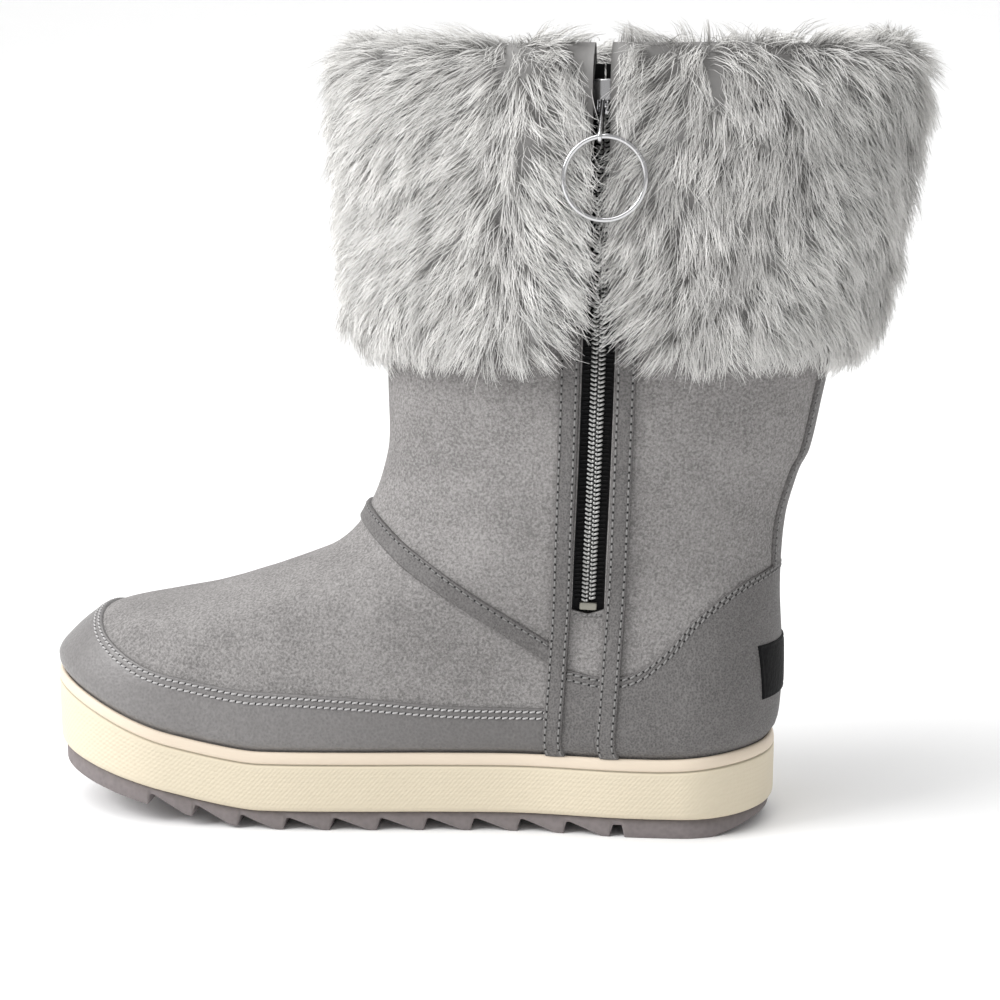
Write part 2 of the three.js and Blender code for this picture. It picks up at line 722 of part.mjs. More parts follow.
function makeLink() {
  const shape = new THREE.Shape();
  const half = linkWidth / 2;
  shape.absarc(0, 0, half, 0, Math.PI, false);
  shape.absarc(0, -linkLength, half, Math.PI, 2 * Math.PI, false);
  for (const [place, radius] of [[0, pinRadius + pinClearance], [-linkLength, ringWire / 2 + pinClearance]]) {
    const hole = new THREE.Path();
    hole.absarc(0, place, radius, 0, 2 * Math.PI, true);
    shape.holes.push(hole);
  }
  const options = { depth: linkThickness, bevelEnabled: false, curveSegments: 6 };
  const geometry = new THREE.ExtrudeGeometry(shape, options);
  geometry.translate(0, 0, -linkThickness / 2);
  geometry.rotateY(Math.PI / 2);
  geometry.rotateX(Math.PI / 2);
  geometry.rotateX(-tilt);
  geometry.translate(slideX, pinY, pinZ);
  return solidOf(geometry);
}

function makeRing() {
  const geometry = new THREE.TorusGeometry(ringRadius, ringWire / 2, 8, 24);
  geometry.rotateX(Math.PI / 2);
  geometry.translate(slideX + ringHang.x, eye.y, eye.z - ringHang.z);
  return solidOf(geometry);
}

// Fur cuff: rings round the section of a roll that is turned over the collar

function cuffRing(level, offset) {
  const { front, back, half } = shaftEnds(Math.min(level, shaftTop));
  const middle = (front + back) / 2;
  const depth = (back - front) / 2 + offset;
  const ring = [];
  for (let j = 0; j < CUFF_ROUND; j += 1) {
    const angle = (j / CUFF_ROUND) * 2 * Math.PI;
    ring.push(new THREE.Vector3(
      middle + depth * Math.cos(angle),
      (half + offset) * Math.sin(angle),
      level,
    ));
  }
  return ring;
}

const cuffBack = 3 * fit + overlayThickness * 2 + stripThickness;
const cuffSection = () => [
  cuffRing(cuffFoot + cuffBackRise, cuffBack),
  cuffRing(lerp(cuffFoot, shaftTop, 0.5), cuffBack),
  cuffRing(shaftTop + fit, cuffBack),
  cuffRing(shaftTop + fit, -upperWall - 4 * fit - tapeThickness),
  cuffRing(shaftTop - cuffTuck, -upperWall - 4 * fit - tapeThickness),
  cuffRing(shaftTop - cuffTuck, -upperWall - cuffInside),
  cuffRing(shaftTop, -upperWall - cuffInside),
  cuffRing(cuffTop - cuffBrow, 0),
  cuffRing(cuffTop, cuffLoft * 0.45),
  cuffRing(cuffTop - cuffBrowRound, cuffLoft * 0.95),
  cuffRing(lerp(cuffFoot, cuffTop, 0.5), cuffLoft * 1.03),
  cuffRing(cuffFoot + cuffHemRound, cuffLoft * 0.92),
  cuffRing(cuffFoot + cuffHem, cuffLoft * 0.55),
];

// A repeatable spread between -0.5 and 0.5 for lock number n.
const spread = (n) => {
  const value = Math.sin(n * 12.9898) * 43758.5453;
  return value - Math.floor(value) - 0.5;
};

function makeLock(level, turn, seed) {
  const { front, back, half } = shaftEnds(Math.min(level, shaftTop));
  const reach = cuffLoft - lockRadius * lockFlatness * 0.5;
  const place = new THREE.Vector3(
    (front + back) / 2 + ((back - front) / 2 + reach) * Math.cos(turn),
    (half + reach) * Math.sin(turn),
    level,
  );
  const outward = new THREE.Vector3(Math.cos(turn) / (back - front), Math.sin(turn) / (2 * half), 0);
  outward.normalize();
  const length = lockLength * (1 + 0.3 * spread(seed));
  const lean = new THREE.Vector3(-outward.y, outward.x, 0).multiplyScalar(0.5 * spread(seed + 0.5));
  const along = new THREE.Vector3(0, 0, -1).addScaledVector(outward, 0.3).add(lean).normalize();
  const across = along.clone().cross(outward).normalize();
  const geometry = new THREE.ConeGeometry(lockRadius, length, 4, 1);
  geometry.scale(1, 1, lockFlatness);
  geometry.translate(0, length * 0.2, 0);
  geometry.applyMatrix4(new THREE.Matrix4().makeBasis(across, along, across.clone().cross(along)));
  geometry.translate(place.x, place.y, place.z);
  return solidOf(geometry);
}

// The gap between the cuff's two ends: a slit that opens into a V at the foot and round the slider.
function slitColumn() {
  const slit = cuffSlit / 2;
  const steps = 5;
  const vee = Array.from({ length: steps + 1 }, (_, i) => {
    const share = i / steps;
    return [lerp(cuffVee, slit, 1 - (1 - share) ** 1.6), cuffFoot + cuffVeeHeight * share];
  });
  const points = [
    [cuffVee, cuffFoot - lockLength],
    ...vee,
    [slit, slideHeight - slideLength / 2 - ringRadius],
    [slideWidth / 2 + cuffPlay, slideHeight - slideLength / 2],
    [slideWidth / 2 + cuffPlay, cuffTop + cuffBrow],
  ];
  const right = points.map(([offset, z]) => [zipX(z) + offset, z]);
  const left = points.map(([offset, z]) => [zipX(z) - offset, z]);
  return sideSolid([...right, ...left.reverse()], -ballWidth, 0);
}

// What is trimmed off the fur's inner side, so that the ring hangs flat against it
function ringBaySolid() {
  const back = eye.y + ringWire / 2 + ringGap;
  return boxSolid(
    [slideX - ringBay, -ballWidth, cuffFoot - lockLength],
    [slideX + ringBay, back, cuffTop + cuffBrow],
  );
}

function makeCuff() {
  let cuff = stackSolid(cuffSection(), true);
  let seed = 0;
  for (let row = 0; row < lockRows; row += 1) {
    const level = lerp(cuffFoot + lockLength * 0.6, cuffTop - lockDrop, row / (lockRows - 1));
    for (let k = 0; k < locksAround; k += 1) {
      seed += 1;
      const turn = ((k + (row % 2) / 2 + 0.4 * spread(seed + 0.2)) / locksAround) * 2 * Math.PI;
      cuff = cuff.add(makeLock(level, turn, seed));
    }
  }
  return mainBody(cuff.subtract(slitColumn()).subtract(ringBaySolid()));
}

addPart('outsole', makeOutsole(), 'tread');
addPart('midsole', makeMidsole(), 'cream');
addPart('insole', makeInsole(), 'insole');
addPart('upper', makeUpper(), 'suede');
addPart('toe_rand', makeRand(), 'leather');
addPart('heel_counter', makeCounter(), 'leather');
addPart('instep_piping', makePiping(), 'leather');
addPart('back_stay', makeStay(), 'leather');
addPart('heel_badge', makeBadge(), 'badge');
addPart('zip_strip_front', makeStrip(-1), 'leather');
addPart('zip_strip_rear', makeStrip(1), 'leather');
addPart('zip_tape_front', makeTape(-1), 'zip');
addPart('zip_tape_rear', makeTape(1), 'zip');
addPart('zip_chain', makeChain(), 'zip');
addPart('zip_bottom_stop', makeStop(), 'stop');
addPart('zip_slider', makeSlider(), 'steel');
addPart('pull_link', makeLink(), 'steel');
addPart('pull_ring', makeRing(), 'steel');
addPart('fur_cuff', makeCuff(), 'fur');

export default part;
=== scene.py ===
import math

import bpy
import numpy as np
from bpy.props import FloatProperty, FloatVectorProperty, IntProperty, PointerProperty
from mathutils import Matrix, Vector


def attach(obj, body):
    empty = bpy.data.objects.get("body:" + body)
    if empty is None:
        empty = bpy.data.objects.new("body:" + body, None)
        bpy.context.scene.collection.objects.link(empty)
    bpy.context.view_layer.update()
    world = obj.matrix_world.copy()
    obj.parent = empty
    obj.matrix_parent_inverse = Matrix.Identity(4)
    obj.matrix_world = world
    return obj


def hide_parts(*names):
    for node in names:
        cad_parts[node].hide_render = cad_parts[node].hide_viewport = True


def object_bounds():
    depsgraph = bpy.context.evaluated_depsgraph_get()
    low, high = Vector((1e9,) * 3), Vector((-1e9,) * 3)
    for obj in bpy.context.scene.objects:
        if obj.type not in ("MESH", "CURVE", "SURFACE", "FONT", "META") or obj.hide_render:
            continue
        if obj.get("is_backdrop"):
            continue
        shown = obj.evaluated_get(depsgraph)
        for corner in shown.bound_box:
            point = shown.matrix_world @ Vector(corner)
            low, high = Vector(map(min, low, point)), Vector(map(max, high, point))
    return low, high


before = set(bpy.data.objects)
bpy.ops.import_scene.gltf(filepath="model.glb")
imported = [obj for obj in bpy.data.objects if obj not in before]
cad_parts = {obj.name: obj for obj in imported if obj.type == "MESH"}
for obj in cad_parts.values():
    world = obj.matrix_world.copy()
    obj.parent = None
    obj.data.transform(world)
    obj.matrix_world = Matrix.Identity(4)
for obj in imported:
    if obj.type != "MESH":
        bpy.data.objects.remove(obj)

bl_info = {
    "name": "Winter boot",
    "version": (1, 0, 0),
    "blender": (4, 5, 0),
    "location": "3D View > Sidebar > Winter boot",
    "description": "Dresses the packed boot with leather, rubber, zip and fur",
    "category": "Object",
}

CAD_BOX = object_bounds()
MM = 0.001

# Sizes of the form in millimetres, the same as in the part
SOLE_LENGTH = 276
HEEL_REACH = 38
BALL_WIDTH = 102
TOE_CURL = 5
INSTEP_HEIGHT = 113
SHAFT_BASE = 140
SHAFT_TOP = 278
ANKLE_DEPTH = 155.5
COLLAR_DEPTH = 184
SHAFT_WIDTH = 84
SHAFT_LEAN = 4.5
TREAD_DEPTH = 4.6
TREAD_BASE = 2.5
TREAD_PITCH = 17.25
TREAD_LAND = 2.6
TREAD_UNDERCUT = 1.3
TREAD_INSET = 1.8
LAST_TOOTH = -21.5
TOOTH_COUNT = 10
HEEL_FLAT = 32
HEEL_BEVEL = 5.5
WALL_HEIGHT = 22.6
TOE_BUMPER = 6.6
HEEL_BUMPER = 2
RIM_HEIGHT = 4.6
RIM_WIDTH = 2.4
CUP_DEPTH = 9
SPRING_START = 188
SPRING_RISE = 0.226
SPRING_EASE = 15
WALL = 2.2
OVERLAY = 0.9
STRIP = 0.8
PIPING = 1.3
FIT = 0.3
RAND_HEIGHT = 15
SIDE_SEAM = 79
COUNTER_HEIGHT = 75
PIPING_WIDTH = 7
STAY_WIDTH = 21
BADGE_WIDTH = 46
BADGE = 0.5
BADGE_HEIGHT = 20
BADGE_FOOT = 49.5
ZIP_ALONG = 71.2
ZIP_BEND = 7.35
ZIP_GAP = 12.2
ZIP_FOOT = 84.3
STRIP_WIDTH = 7.4
TAPE_WIDTH = 24
TAPE = 0.8
CHAIN_WIDTH = 6.2
STOP_WIDTH = 6.4
STOP_HEIGHT = 2.7
SLIDE_HEIGHT = SHAFT_TOP - 13
SLIDE_LENGTH = 12
SLIDE_WIDTH = 9
SLIDE_FACE = 2
PIN_REACH = 6.2
PIN_RISE = 3
LINK_LENGTH = 16
RING_RADIUS = 13.8
RING_WIRE = 1.8
TOOTH_PITCH = 1.6
INSOLE = 4.8
CUFF_FOOT = 175
CUFF_TOP = SHAFT_TOP + 10
CUFF_LOFT = 18
CUFF_INSIDE = 6
CUFF_TUCK = 20
CUFF_SLIT = 3
CUFF_VEE = 24
CUFF_VEE_HEIGHT = 31
# Most triangles in one group of fur
FUR_GROUP_LIMIT = 190000


def table(columns, *rows):
    """A table as one array for each named column."""
    return dict(zip(columns.split(), np.array(rows, float).T))


# Half widths of the sole as shares of its ball width, along as a share of its length
OUTLINE = table(
    "along medial lateral shift",
    (0.00, 0.385, 0.385, 0.0),
    (0.10, 0.402, 0.402, 0.0),
    (0.20, 0.412, 0.414, 0.0),
    (0.33, 0.389, 0.430, 0.0),
    (0.45, 0.416, 0.455, 0.0),
    (0.55, 0.451, 0.492, 0.0),
    (0.65, 0.478, 0.522, 0.0),
    (0.75, 0.472, 0.518, 0.2),
    (0.87, 0.440, 0.480, 0.6),
    (1.00, 0.410, 0.440, 1.0),
)
HEEL_ROUND = 0.125
TOE_ROUND = 0.185
# Sections of the foot from just above the cup to the ankle
FOOT = table(
    "front_along front_up back_along back_up width oval sag",
    (0.9955, 0.512, 0.0010, 0.330, 0.975, 0.02, 1.0),
    (0.9800, 0.563, -0.0030, 0.415, 0.985, 0.06, 0.8),
    (0.9530, 0.622, -0.0035, 0.505, 0.965, 0.12, 0.5),
    (0.9245, 0.664, -0.0025, 0.595, 0.945, 0.22, 0.25),
    (0.8795, 0.686, 0.0000, 0.680, 0.930, 0.36, 0.1),
    (0.8047, 0.721, 0.0020, 0.765, 0.920, 0.56, 0.0),
    (0.7278, 0.776, 0.0020, 0.850, 0.920, 0.75, 0.0),
    (0.6591, 0.835, 0.0010, 0.922, 0.920, 0.90, 0.0),
    (0.6090, 0.886, -0.0010, 0.985, 0.920, 1.00, 0.0),
    (0.5740, 0.962, -0.0045, 1.045, 0.920, 1.00, 0.0),
    (0.5530, 1.055, -0.0120, 1.115, 0.920, 1.00, 0.0),
    (0.5398, 1.142, -0.0205, 1.180, 0.920, 1.00, 0.0),
)
SHAFT_LEVELS = (0, 0.14, 0.34, 0.62, 1)
SHAFT_FRONT = 0.5312
ANKLE_WIDTH = 0.97
APRON_SEAM = table(
    "along rise",
    (0.250, 1.15),
    (0.422, 1.17),
    (0.554, 1.36),
    (0.662, 1.46),
    (0.768, 1.45),
    (0.842, 1.41),
    (0.888, 1.49),
    (0.919, 1.66),
    (0.937, 2.05),
    (0.957, 3.20),
)
COUNTER_SEAM = table(
    "along rise",
    (-0.060, 0.95),
    (-0.004, 0.88),
    (0.050, 0.80),
    (0.100, 0.67),
    (0.152, 0.475),
    (0.191, 0.385),
    (0.232, 0.37),
    (0.270, 0.395),
    (0.294, 0.416),
)
PIPING_LINE = table(
    "along rise",
    (0.260, 0.545),
    (0.358, 0.698),
    (0.437, 0.822),
    (0.499, 0.910),
    (0.550, 0.992),
    (0.600, 1.050),
)


# The form of the sole and the last, in millimetres


def smooth(value):
    share = np.clip(value, 0, 1)
    return share * share * (3 - 2 * share)


def mix(low, high, share):
    return low + (high - low) * share


def hermite(keys, values, at):
    """Catmull-Rom through values, whose first axis follows keys, at an array of places."""
    slopes = np.empty_like(values)
    wide = (keys[2:] - keys[:-2]).reshape((-1,) + (1,) * (values.ndim - 1))
    slopes[1:-1] = (values[2:] - values[:-2]) / wide
    slopes[0] = (values[1] - values[0]) / (keys[1] - keys[0])
    slopes[-1] = (values[-1] - values[-2]) / (keys[-1] - keys[-2])
    i = np.clip(np.searchsorted(keys, at, side="right") - 1, 0, len(keys) - 2)
    step = keys[i + 1] - keys[i]
    t = (at - keys[i]) / step
    pick = (i,) if values.ndim == 1 else (i, np.arange(len(i)))
    up = (i + 1,) + pick[1:]
    if values.ndim == 3:
        t, step = t[:, None], step[:, None]
    low = (2 * t**3 - 3 * t**2 + 1) * values[pick] + (t**3 - 2 * t**2 + t) * step * slopes[pick]
    high = (3 * t**2 - 2 * t**3) * values[up] + (t**3 - t**2) * step * slopes[up]
    return low + high


def between(rows, column, at):
    return hermite(rows["along"], rows[column], at)


def along_to_x(along):
    return HEEL_REACH - along * SOLE_LENGTH


def x_to_along(x):
    return (HEEL_REACH - x) / SOLE_LENGTH


def round_end(value, reach):
    return np.sqrt(np.clip(1 - np.clip(1 - value / reach, 0, None) ** 2, 0, None))


def edge_y(along, side):
    """Sideways place of the sole's edge; side is 1 outwards and -1 inwards."""
    half = np.where(side > 0, between(OUTLINE, "lateral", along), between(OUTLINE, "medial", along))
    rounding = round_end(along, HEEL_ROUND) * round_end(1 - along, TOE_ROUND)
    return side * half * BALL_WIDTH * rounding - TOE_CURL * between(OUTLINE, "shift", along)


def along_at(turn):
    return (1 - np.cos(turn)) / 2


def side_of(turn):
    return np.where(np.sin(turn) < 0, -1.0, 1.0)


def plan_edge(turn):
    along = along_at(turn)
    return np.stack([along_to_x(along), edge_y(along, side_of(turn))], -1)


def plan_ring(turn, inset):
    """The sole's edge in plan, drawn in by an inset."""
    step = 0.02
    ahead, behind = plan_edge(turn + step), plan_edge(turn - step)
    outward = np.stack([ahead[:, 1] - behind[:, 1], behind[:, 0] - ahead[:, 0]], -1)
    outward /= np.linalg.norm(outward, axis=-1, keepdims=True)
    return plan_edge(turn) - outward * np.broadcast_to(inset, turn.shape)[:, None]


def toe_spring(x):
    past = np.clip(HEEL_REACH - SPRING_START - x, 0, None)
    return SPRING_RISE * past * past / (past + SPRING_EASE)


def cup_foot(x):
    return TREAD_DEPTH + TREAD_BASE + FIT + toe_spring(x)


def cup_top(x):
    toe = TOE_BUMPER * smooth((x_to_along(x) - 0.8) / 0.22)
    heel = HEEL_BUMPER * smooth((0.16 - x_to_along(x)) / 0.14)
    return cup_foot(x) + WALL_HEIGHT + toe + heel


def shaft_ends(level):
    share = (level - SHAFT_BASE) / (SHAFT_TOP - SHAFT_BASE)
    front = along_to_x(SHAFT_FRONT) - SHAFT_LEAN * share * share
    back = front + mix(ANKLE_DEPTH, COLLAR_DEPTH, share)
    return front, back, SHAFT_WIDTH / 2 * mix(ANKLE_WIDTH, 1, smooth(share * 2))


def last_rings(turn):
    """The last's rings, from the cup's floor to the collar, at an array of turns."""
    along, side = along_at(turn), side_of(turn)
    rings = []
    tuck = plan_ring(turn, RIM_WIDTH + FIT)
    for height in (cup_top(tuck[:, 0]) - CUP_DEPTH + FIT, cup_top(tuck[:, 0]) + FIT):
        rings.append(np.column_stack([tuck, height]))
    sole_back, sole_front = cup_top(along_to_x(0)), cup_top(along_to_x(1))
    curve = cup_top(along_to_x(along)) - mix(sole_back, sole_front, along)
    plan, oval = edge_y(along, side), np.sin(turn) * SHAFT_WIDTH / 2 * ANKLE_WIDTH
    for row in zip(*FOOT.values()):
        front_along, front_up, back_along, back_up, width, roundness, sag = row
        x = mix(along_to_x(back_along), along_to_x(front_along), along)
        z = mix(back_up, front_up, along) * INSTEP_HEIGHT + curve * sag
        rings.append(np.column_stack([x, mix(plan * width, oval, roundness), z]))
    for share in SHAFT_LEVELS:
        level = mix(SHAFT_BASE, SHAFT_TOP, share)
        front, back, half = shaft_ends(level)
        x = mix(back, front, along)
        rings.append(np.column_stack([x, half * np.sin(turn), np.full_like(x, level)]))
    return np.stack(rings)


_spine = last_rings(np.array([0.0, math.pi / 2, math.pi, -math.pi / 2])).mean(axis=1)
# Height of each ring up the last, as the mean distance between rings, in millimetres
KNOTS = np.concatenate([[0.0], np.cumsum(np.linalg.norm(np.diff(_spine, axis=0), axis=1))])
CUP_KNOT, COLLAR_KNOT = KNOTS[1], KNOTS[-1]


def surface(turn, climb):
    """Points of the last's surface; turn is 0 at the heel and pi at the toe."""
    turn, climb = np.broadcast_arrays(np.asarray(turn, float), np.asarray(climb, float))
    points = hermite(KNOTS, last_rings(turn.ravel()), climb.ravel())
    return points.reshape(turn.shape + (3,))


def outward(turn, climb):
    """Unit normals of the last's surface."""
    around = surface(turn + 0.004, climb) - surface(turn - 0.004, climb)
    up = surface(turn, np.minimum(climb + 0.3, COLLAR_KNOT)) - surface(turn, climb - 0.3)
    normal = np.cross(around, up)
    return normal / np.linalg.norm(normal, axis=-1, keepdims=True)


def skin(turn, climb, offset):
    """Points at an offset from the last's surface."""
    offset = np.broadcast_to(offset, np.broadcast(turn, climb).shape)
    return surface(turn, climb) + outward(turn, climb) * offset[..., None]


def turn_at(x, climb):
    """The turn, from 0 to pi, at which the surface has this x."""
    back = surface(np.zeros_like(climb), climb)[..., 0]
    front = surface(np.full_like(climb, math.pi), climb)[..., 0]
    return np.arccos(np.clip(1 - 2 * (back - x) / (back - front), -1, 1))


def solve(rising, low, high, steps=26):
    """The place between low and high, arrays, at which a rising function passes 0."""
    for _ in range(steps):
        middle = (low + high) / 2
        above = rising(middle) > 0
        low, high = np.where(above, low, middle), np.where(above, middle, high)
    return (low + high) / 2


def side_place(x, z, side):
    """Turn and climb of the surface's points at x and z on one side."""
    x, z = np.broadcast_arrays(np.asarray(x, float), np.asarray(z, float))
    low, high = np.full(x.shape, CUP_KNOT * 0.5), np.full(x.shape, COLLAR_KNOT)
    climb = solve(lambda c: surface(side * turn_at(x, c), c)[..., 2] - z, low, high)
    return side * turn_at(x, climb), climb


def heel_place(y, z):
    """Turn and climb of the surface's points at y and z round the heel."""
    y, z = np.broadcast_arrays(np.asarray(y, float), np.asarray(z, float))
    climb = np.full(y.shape, (CUP_KNOT + COLLAR_KNOT) / 2)
    for _ in range(3):
        turn = solve(lambda t: surface(t, climb)[..., 1] - y, np.full(y.shape, -1.5), np.full(y.shape, 1.5))
        low, high = np.full(y.shape, CUP_KNOT * 0.5), np.full(y.shape, COLLAR_KNOT)
        climb = solve(lambda c: surface(turn, c)[..., 2] - z, low, high)
    return turn, climb


def zip_x(z):
    drop = (SHAFT_TOP - z) / (SHAFT_TOP - cup_top(along_to_x(0)))
    return along_to_x(0) - ZIP_ALONG + ZIP_BEND * (1 - drop * drop)


# Meshes


def grid_faces(rows, columns, closed=False):
    """Quads of a grid of rows by columns, whose columns may close into a ring."""
    wide = columns if closed else columns - 1
    i, j = np.meshgrid(np.arange(rows - 1), np.arange(wide), indexing="ij")
    ahead = (j + 1) % columns
    corners = (i * columns + j, i * columns + ahead, (i + 1) * columns + ahead, (i + 1) * columns + j)
    return np.stack(corners, -1).reshape(-1, 4)


def build(name, points, faces, slot, material, stands_for=(), body="boot", values=None):
    """One piece from points in millimetres and faces of equal length, riding on a body."""
    points, faces = np.asarray(points, float).reshape(-1, 3), np.asarray(faces)
    mesh = bpy.data.meshes.new(name)
    mesh.vertices.add(len(points))
    mesh.vertices.foreach_set("co", (points * MM).astype(np.float32).ravel())
    mesh.loops.add(faces.size)
    mesh.loops.foreach_set("vertex_index", faces.astype(np.int32).ravel())
    mesh.polygons.add(len(faces))
    mesh.polygons.foreach_set("loop_start", np.arange(0, faces.size, faces.shape[1], dtype=np.int32))
    mesh.polygons.foreach_set("use_smooth", np.full(len(faces), True))
    mesh.update(calc_edges=True)
    for key, value in (values or {}).items():
        layer = mesh.attributes.new(key, "FLOAT", "POINT")
        layer.data.foreach_set("value", np.ascontiguousarray(value, np.float32).ravel())
    mesh.materials.append(material)
    piece = bpy.data.objects.new(name, mesh)
    bpy.context.scene.collection.objects.link(piece)
    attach(piece, body)
    if stands_for:
        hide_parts(*stands_for)
    return piece


def join(*meshes):
    """Joins (points, faces) pairs into one pair."""
    points, faces, start = [], [], 0
    for some_points, some_faces in meshes:
        points.append(np.asarray(some_points).reshape(-1, 3))
        faces.append(np.asarray(some_faces) + start)
        start += len(points[-1])
    return np.concatenate(points), np.concatenate(faces)


# Colours and finishes


def group_tree(name, inputs, outputs):
    """An empty shader group with named inputs and outputs for numbers."""
    tree = bpy.data.node_groups.new(name, "ShaderNodeTree")
    for label, value in inputs:
        socket = tree.interface.new_socket(label, in_out="INPUT", socket_type="NodeSocketFloat")
        socket.default_value = value
    for label in outputs:
        tree.interface.new_socket(label, in_out="OUTPUT", socket_type="NodeSocketFloat")
    return tree, tree.nodes.new("NodeGroupInput"), tree.nodes.new("NodeGroupOutput")


def connect(tree, value, socket):
    if isinstance(value, bpy.types.NodeSocket):
        tree.links.new(value, socket)
    else:
        socket.default_value = value


def calculate(tree, operation, *values):
    node = tree.nodes.new("ShaderNodeMath")
    node.operation = operation
    for value, socket in zip(values, node.inputs):
        connect(tree, value, socket)
    return node.outputs[0]


def texture(tree, kind, output, **values):
    """A texture placed by the piece's own coordinates."""
    node = tree.nodes.new(kind)
    place = tree.nodes.new("ShaderNodeTexCoord")
    tree.links.new(place.outputs["Object"], node.inputs["Vector"])
    for label, value in values.items():
        connect(tree, value, node.inputs[label.replace("_", " ")])
    return node.outputs[output]


def speckle_group():
    """Nap of brushed suede: fine speckles over soft clouds."""
    inputs = (("Speckle Scale", 1400.0), ("Speckle", 1.0), ("Cloud Scale", 40.0), ("Cloud", 1.0))
    tree, given, made = group_tree("suede_nap", inputs, ("Mask", "Height"))
    fine = texture(tree, "ShaderNodeTexNoise", "Fac", Scale=given.outputs[0], Detail=2.0, Roughness=0.7)
    cloud = texture(tree, "ShaderNodeTexNoise", "Fac", Scale=given.outputs[2], Detail=4.0, Roughness=0.6)
    speckled = calculate(tree, "MULTIPLY", calculate(tree, "SUBTRACT", fine, 0.5), given.outputs[1])
    clouded = calculate(tree, "MULTIPLY", calculate(tree, "SUBTRACT", cloud, 0.5), given.outputs[3])
    mask = calculate(tree, "ADD", calculate(tree, "ADD", speckled, clouded), 0.5)
    tree.links.new(mask, made.inputs["Mask"])
    tree.links.new(fine, made.inputs["Height"])
    return tree


def pebble_group():
    """Fine pebbled grain of smooth leather, with faint clouds."""
    inputs = (("Grain Scale", 900.0), ("Cloud Scale", 60.0), ("Cloud", 0.6), ("Grain", 1.0))
    tree, given, made = group_tree("leather_grain", inputs, ("Mask", "Height"))
    cell = texture(tree, "ShaderNodeTexVoronoi", "Distance", Scale=given.outputs[0])
    fine = texture(tree, "ShaderNodeTexNoise", "Fac", Scale=given.outputs[0], Detail=2.0)
    cloud = texture(tree, "ShaderNodeTexNoise", "Fac", Scale=given.outputs[1], Detail=3.0)
    height = calculate(tree, "ADD", cell, fine)
    grain = calculate(tree, "MULTIPLY", calculate(tree, "SUBTRACT", height, 0.95), given.outputs[3])
    clouded = calculate(tree, "MULTIPLY", calculate(tree, "SUBTRACT", cloud, 0.5), given.outputs[2])
    mask = calculate(tree, "ADD", calculate(tree, "ADD", grain, clouded), 0.5)
    tree.links.new(mask, made.inputs["Mask"])
    tree.links.new(height, made.inputs["Height"])
    return tree


def weave_group():
    """Close weave of a zip's tape."""
    tree, given, made = group_tree("tape_weave", (("Thread Scale", 900.0),), ("Mask", "Height"))
    bands = []
    for direction in ("X", "Z"):
        band = texture(tree, "ShaderNodeTexWave", "Fac", Scale=given.outputs[0])
        band.node.bands_direction = direction
        bands.append(band)
    both = calculate(tree, "MULTIPLY", *bands)
    tree.links.new(both, made.inputs["Mask"])
    tree.links.new(both, made.inputs["Height"])
    return tree


GROUPS = {"nap": speckle_group, "grain": pebble_group, "weave": weave_group}


def shader_group(kind):
    """The node group of this kind, built once."""
    name = {"nap": "suede_nap", "grain": "leather_grain", "weave": "tape_weave"}[kind]
    return bpy.data.node_groups.get(name) or GROUPS[kind]()


def plain_material(name, colour, roughness, metallic=0.0, specular=0.5):
    material = bpy.data.materials.new(name)
    material.use_nodes = True
    shader = material.node_tree.nodes["Principled BSDF"]
    shader.inputs["Base Color"].default_value = (*colour, 1)
    shader.inputs["Roughness"].default_value = roughness
    shader.inputs["Metallic"].default_value = metallic
    shader.inputs["Specular IOR Level"].default_value = specular
    return material


def blend(tree, share, low, high):
    """A colour between two, by a share from 0 to 1."""
    node = tree.nodes.new("ShaderNodeMix")
    node.data_type = "RGBA"
    connect(tree, share, node.inputs[0])
    connect(tree, low, node.inputs[6])
    connect(tree, high, node.inputs[7])
    return node.outputs[2]


def shaded(colour, share):
    return (*(min(channel * share, 1.0) for channel in colour), 1)


def bump(tree, shader, height, strength, distance):
    node = tree.nodes.new("ShaderNodeBump")
    node.inputs["Strength"].default_value = strength
    node.inputs["Distance"].default_value = distance
    tree.links.new(height, node.inputs["Height"])
    tree.links.new(node.outputs["Normal"], shader.inputs["Normal"])


def grained_material(name, kind, values, colour, contrast, roughness, relief, specular=0.3, lit_toe_colour=None):
    """A material that one of the groups shades and embosses, and that may turn paler to the toe as a painted
    highlight where the light falls.
    """
    material = plain_material(name, colour, roughness, 0.0, specular)
    tree = material.node_tree
    shader = tree.nodes["Principled BSDF"]
    node = tree.nodes.new("ShaderNodeGroup")
    node.node_tree = shader_group(kind)
    for label, value in values.items():
        node.inputs[label].default_value = value
    tint = blend(tree, node.outputs["Mask"], shaded(colour, 1 - contrast), shaded(colour, 1 + contrast))
    # Painted highlight: a paler copy of the colour, blended in by the toe share, stands for light falling on
    # the toe
    if lit_toe_colour:
        limits = shaded(lit_toe_colour, 1 - contrast), shaded(lit_toe_colour, 1 + contrast)
        lit_toe_tint = blend(tree, node.outputs["Mask"], *limits)
        tint = blend(tree, attribute(tree, "toe"), tint, lit_toe_tint)
    tree.links.new(tint, shader.inputs["Base Color"])
    bump(tree, shader, node.outputs["Height"], *relief)
    return material


def attribute(tree, name):
    node = tree.nodes.new("ShaderNodeAttribute")
    node.attribute_name = name
    return node.outputs["Fac"]


def share_of(tree, value, low, high):
    node = tree.nodes.new("ShaderNodeMapRange")
    node.interpolation_type = "SMOOTHSTEP"
    tree.links.new(value, node.inputs["Value"])
    node.inputs["From Min"].default_value = low
    node.inputs["From Max"].default_value = high
    return node.outputs["Result"]


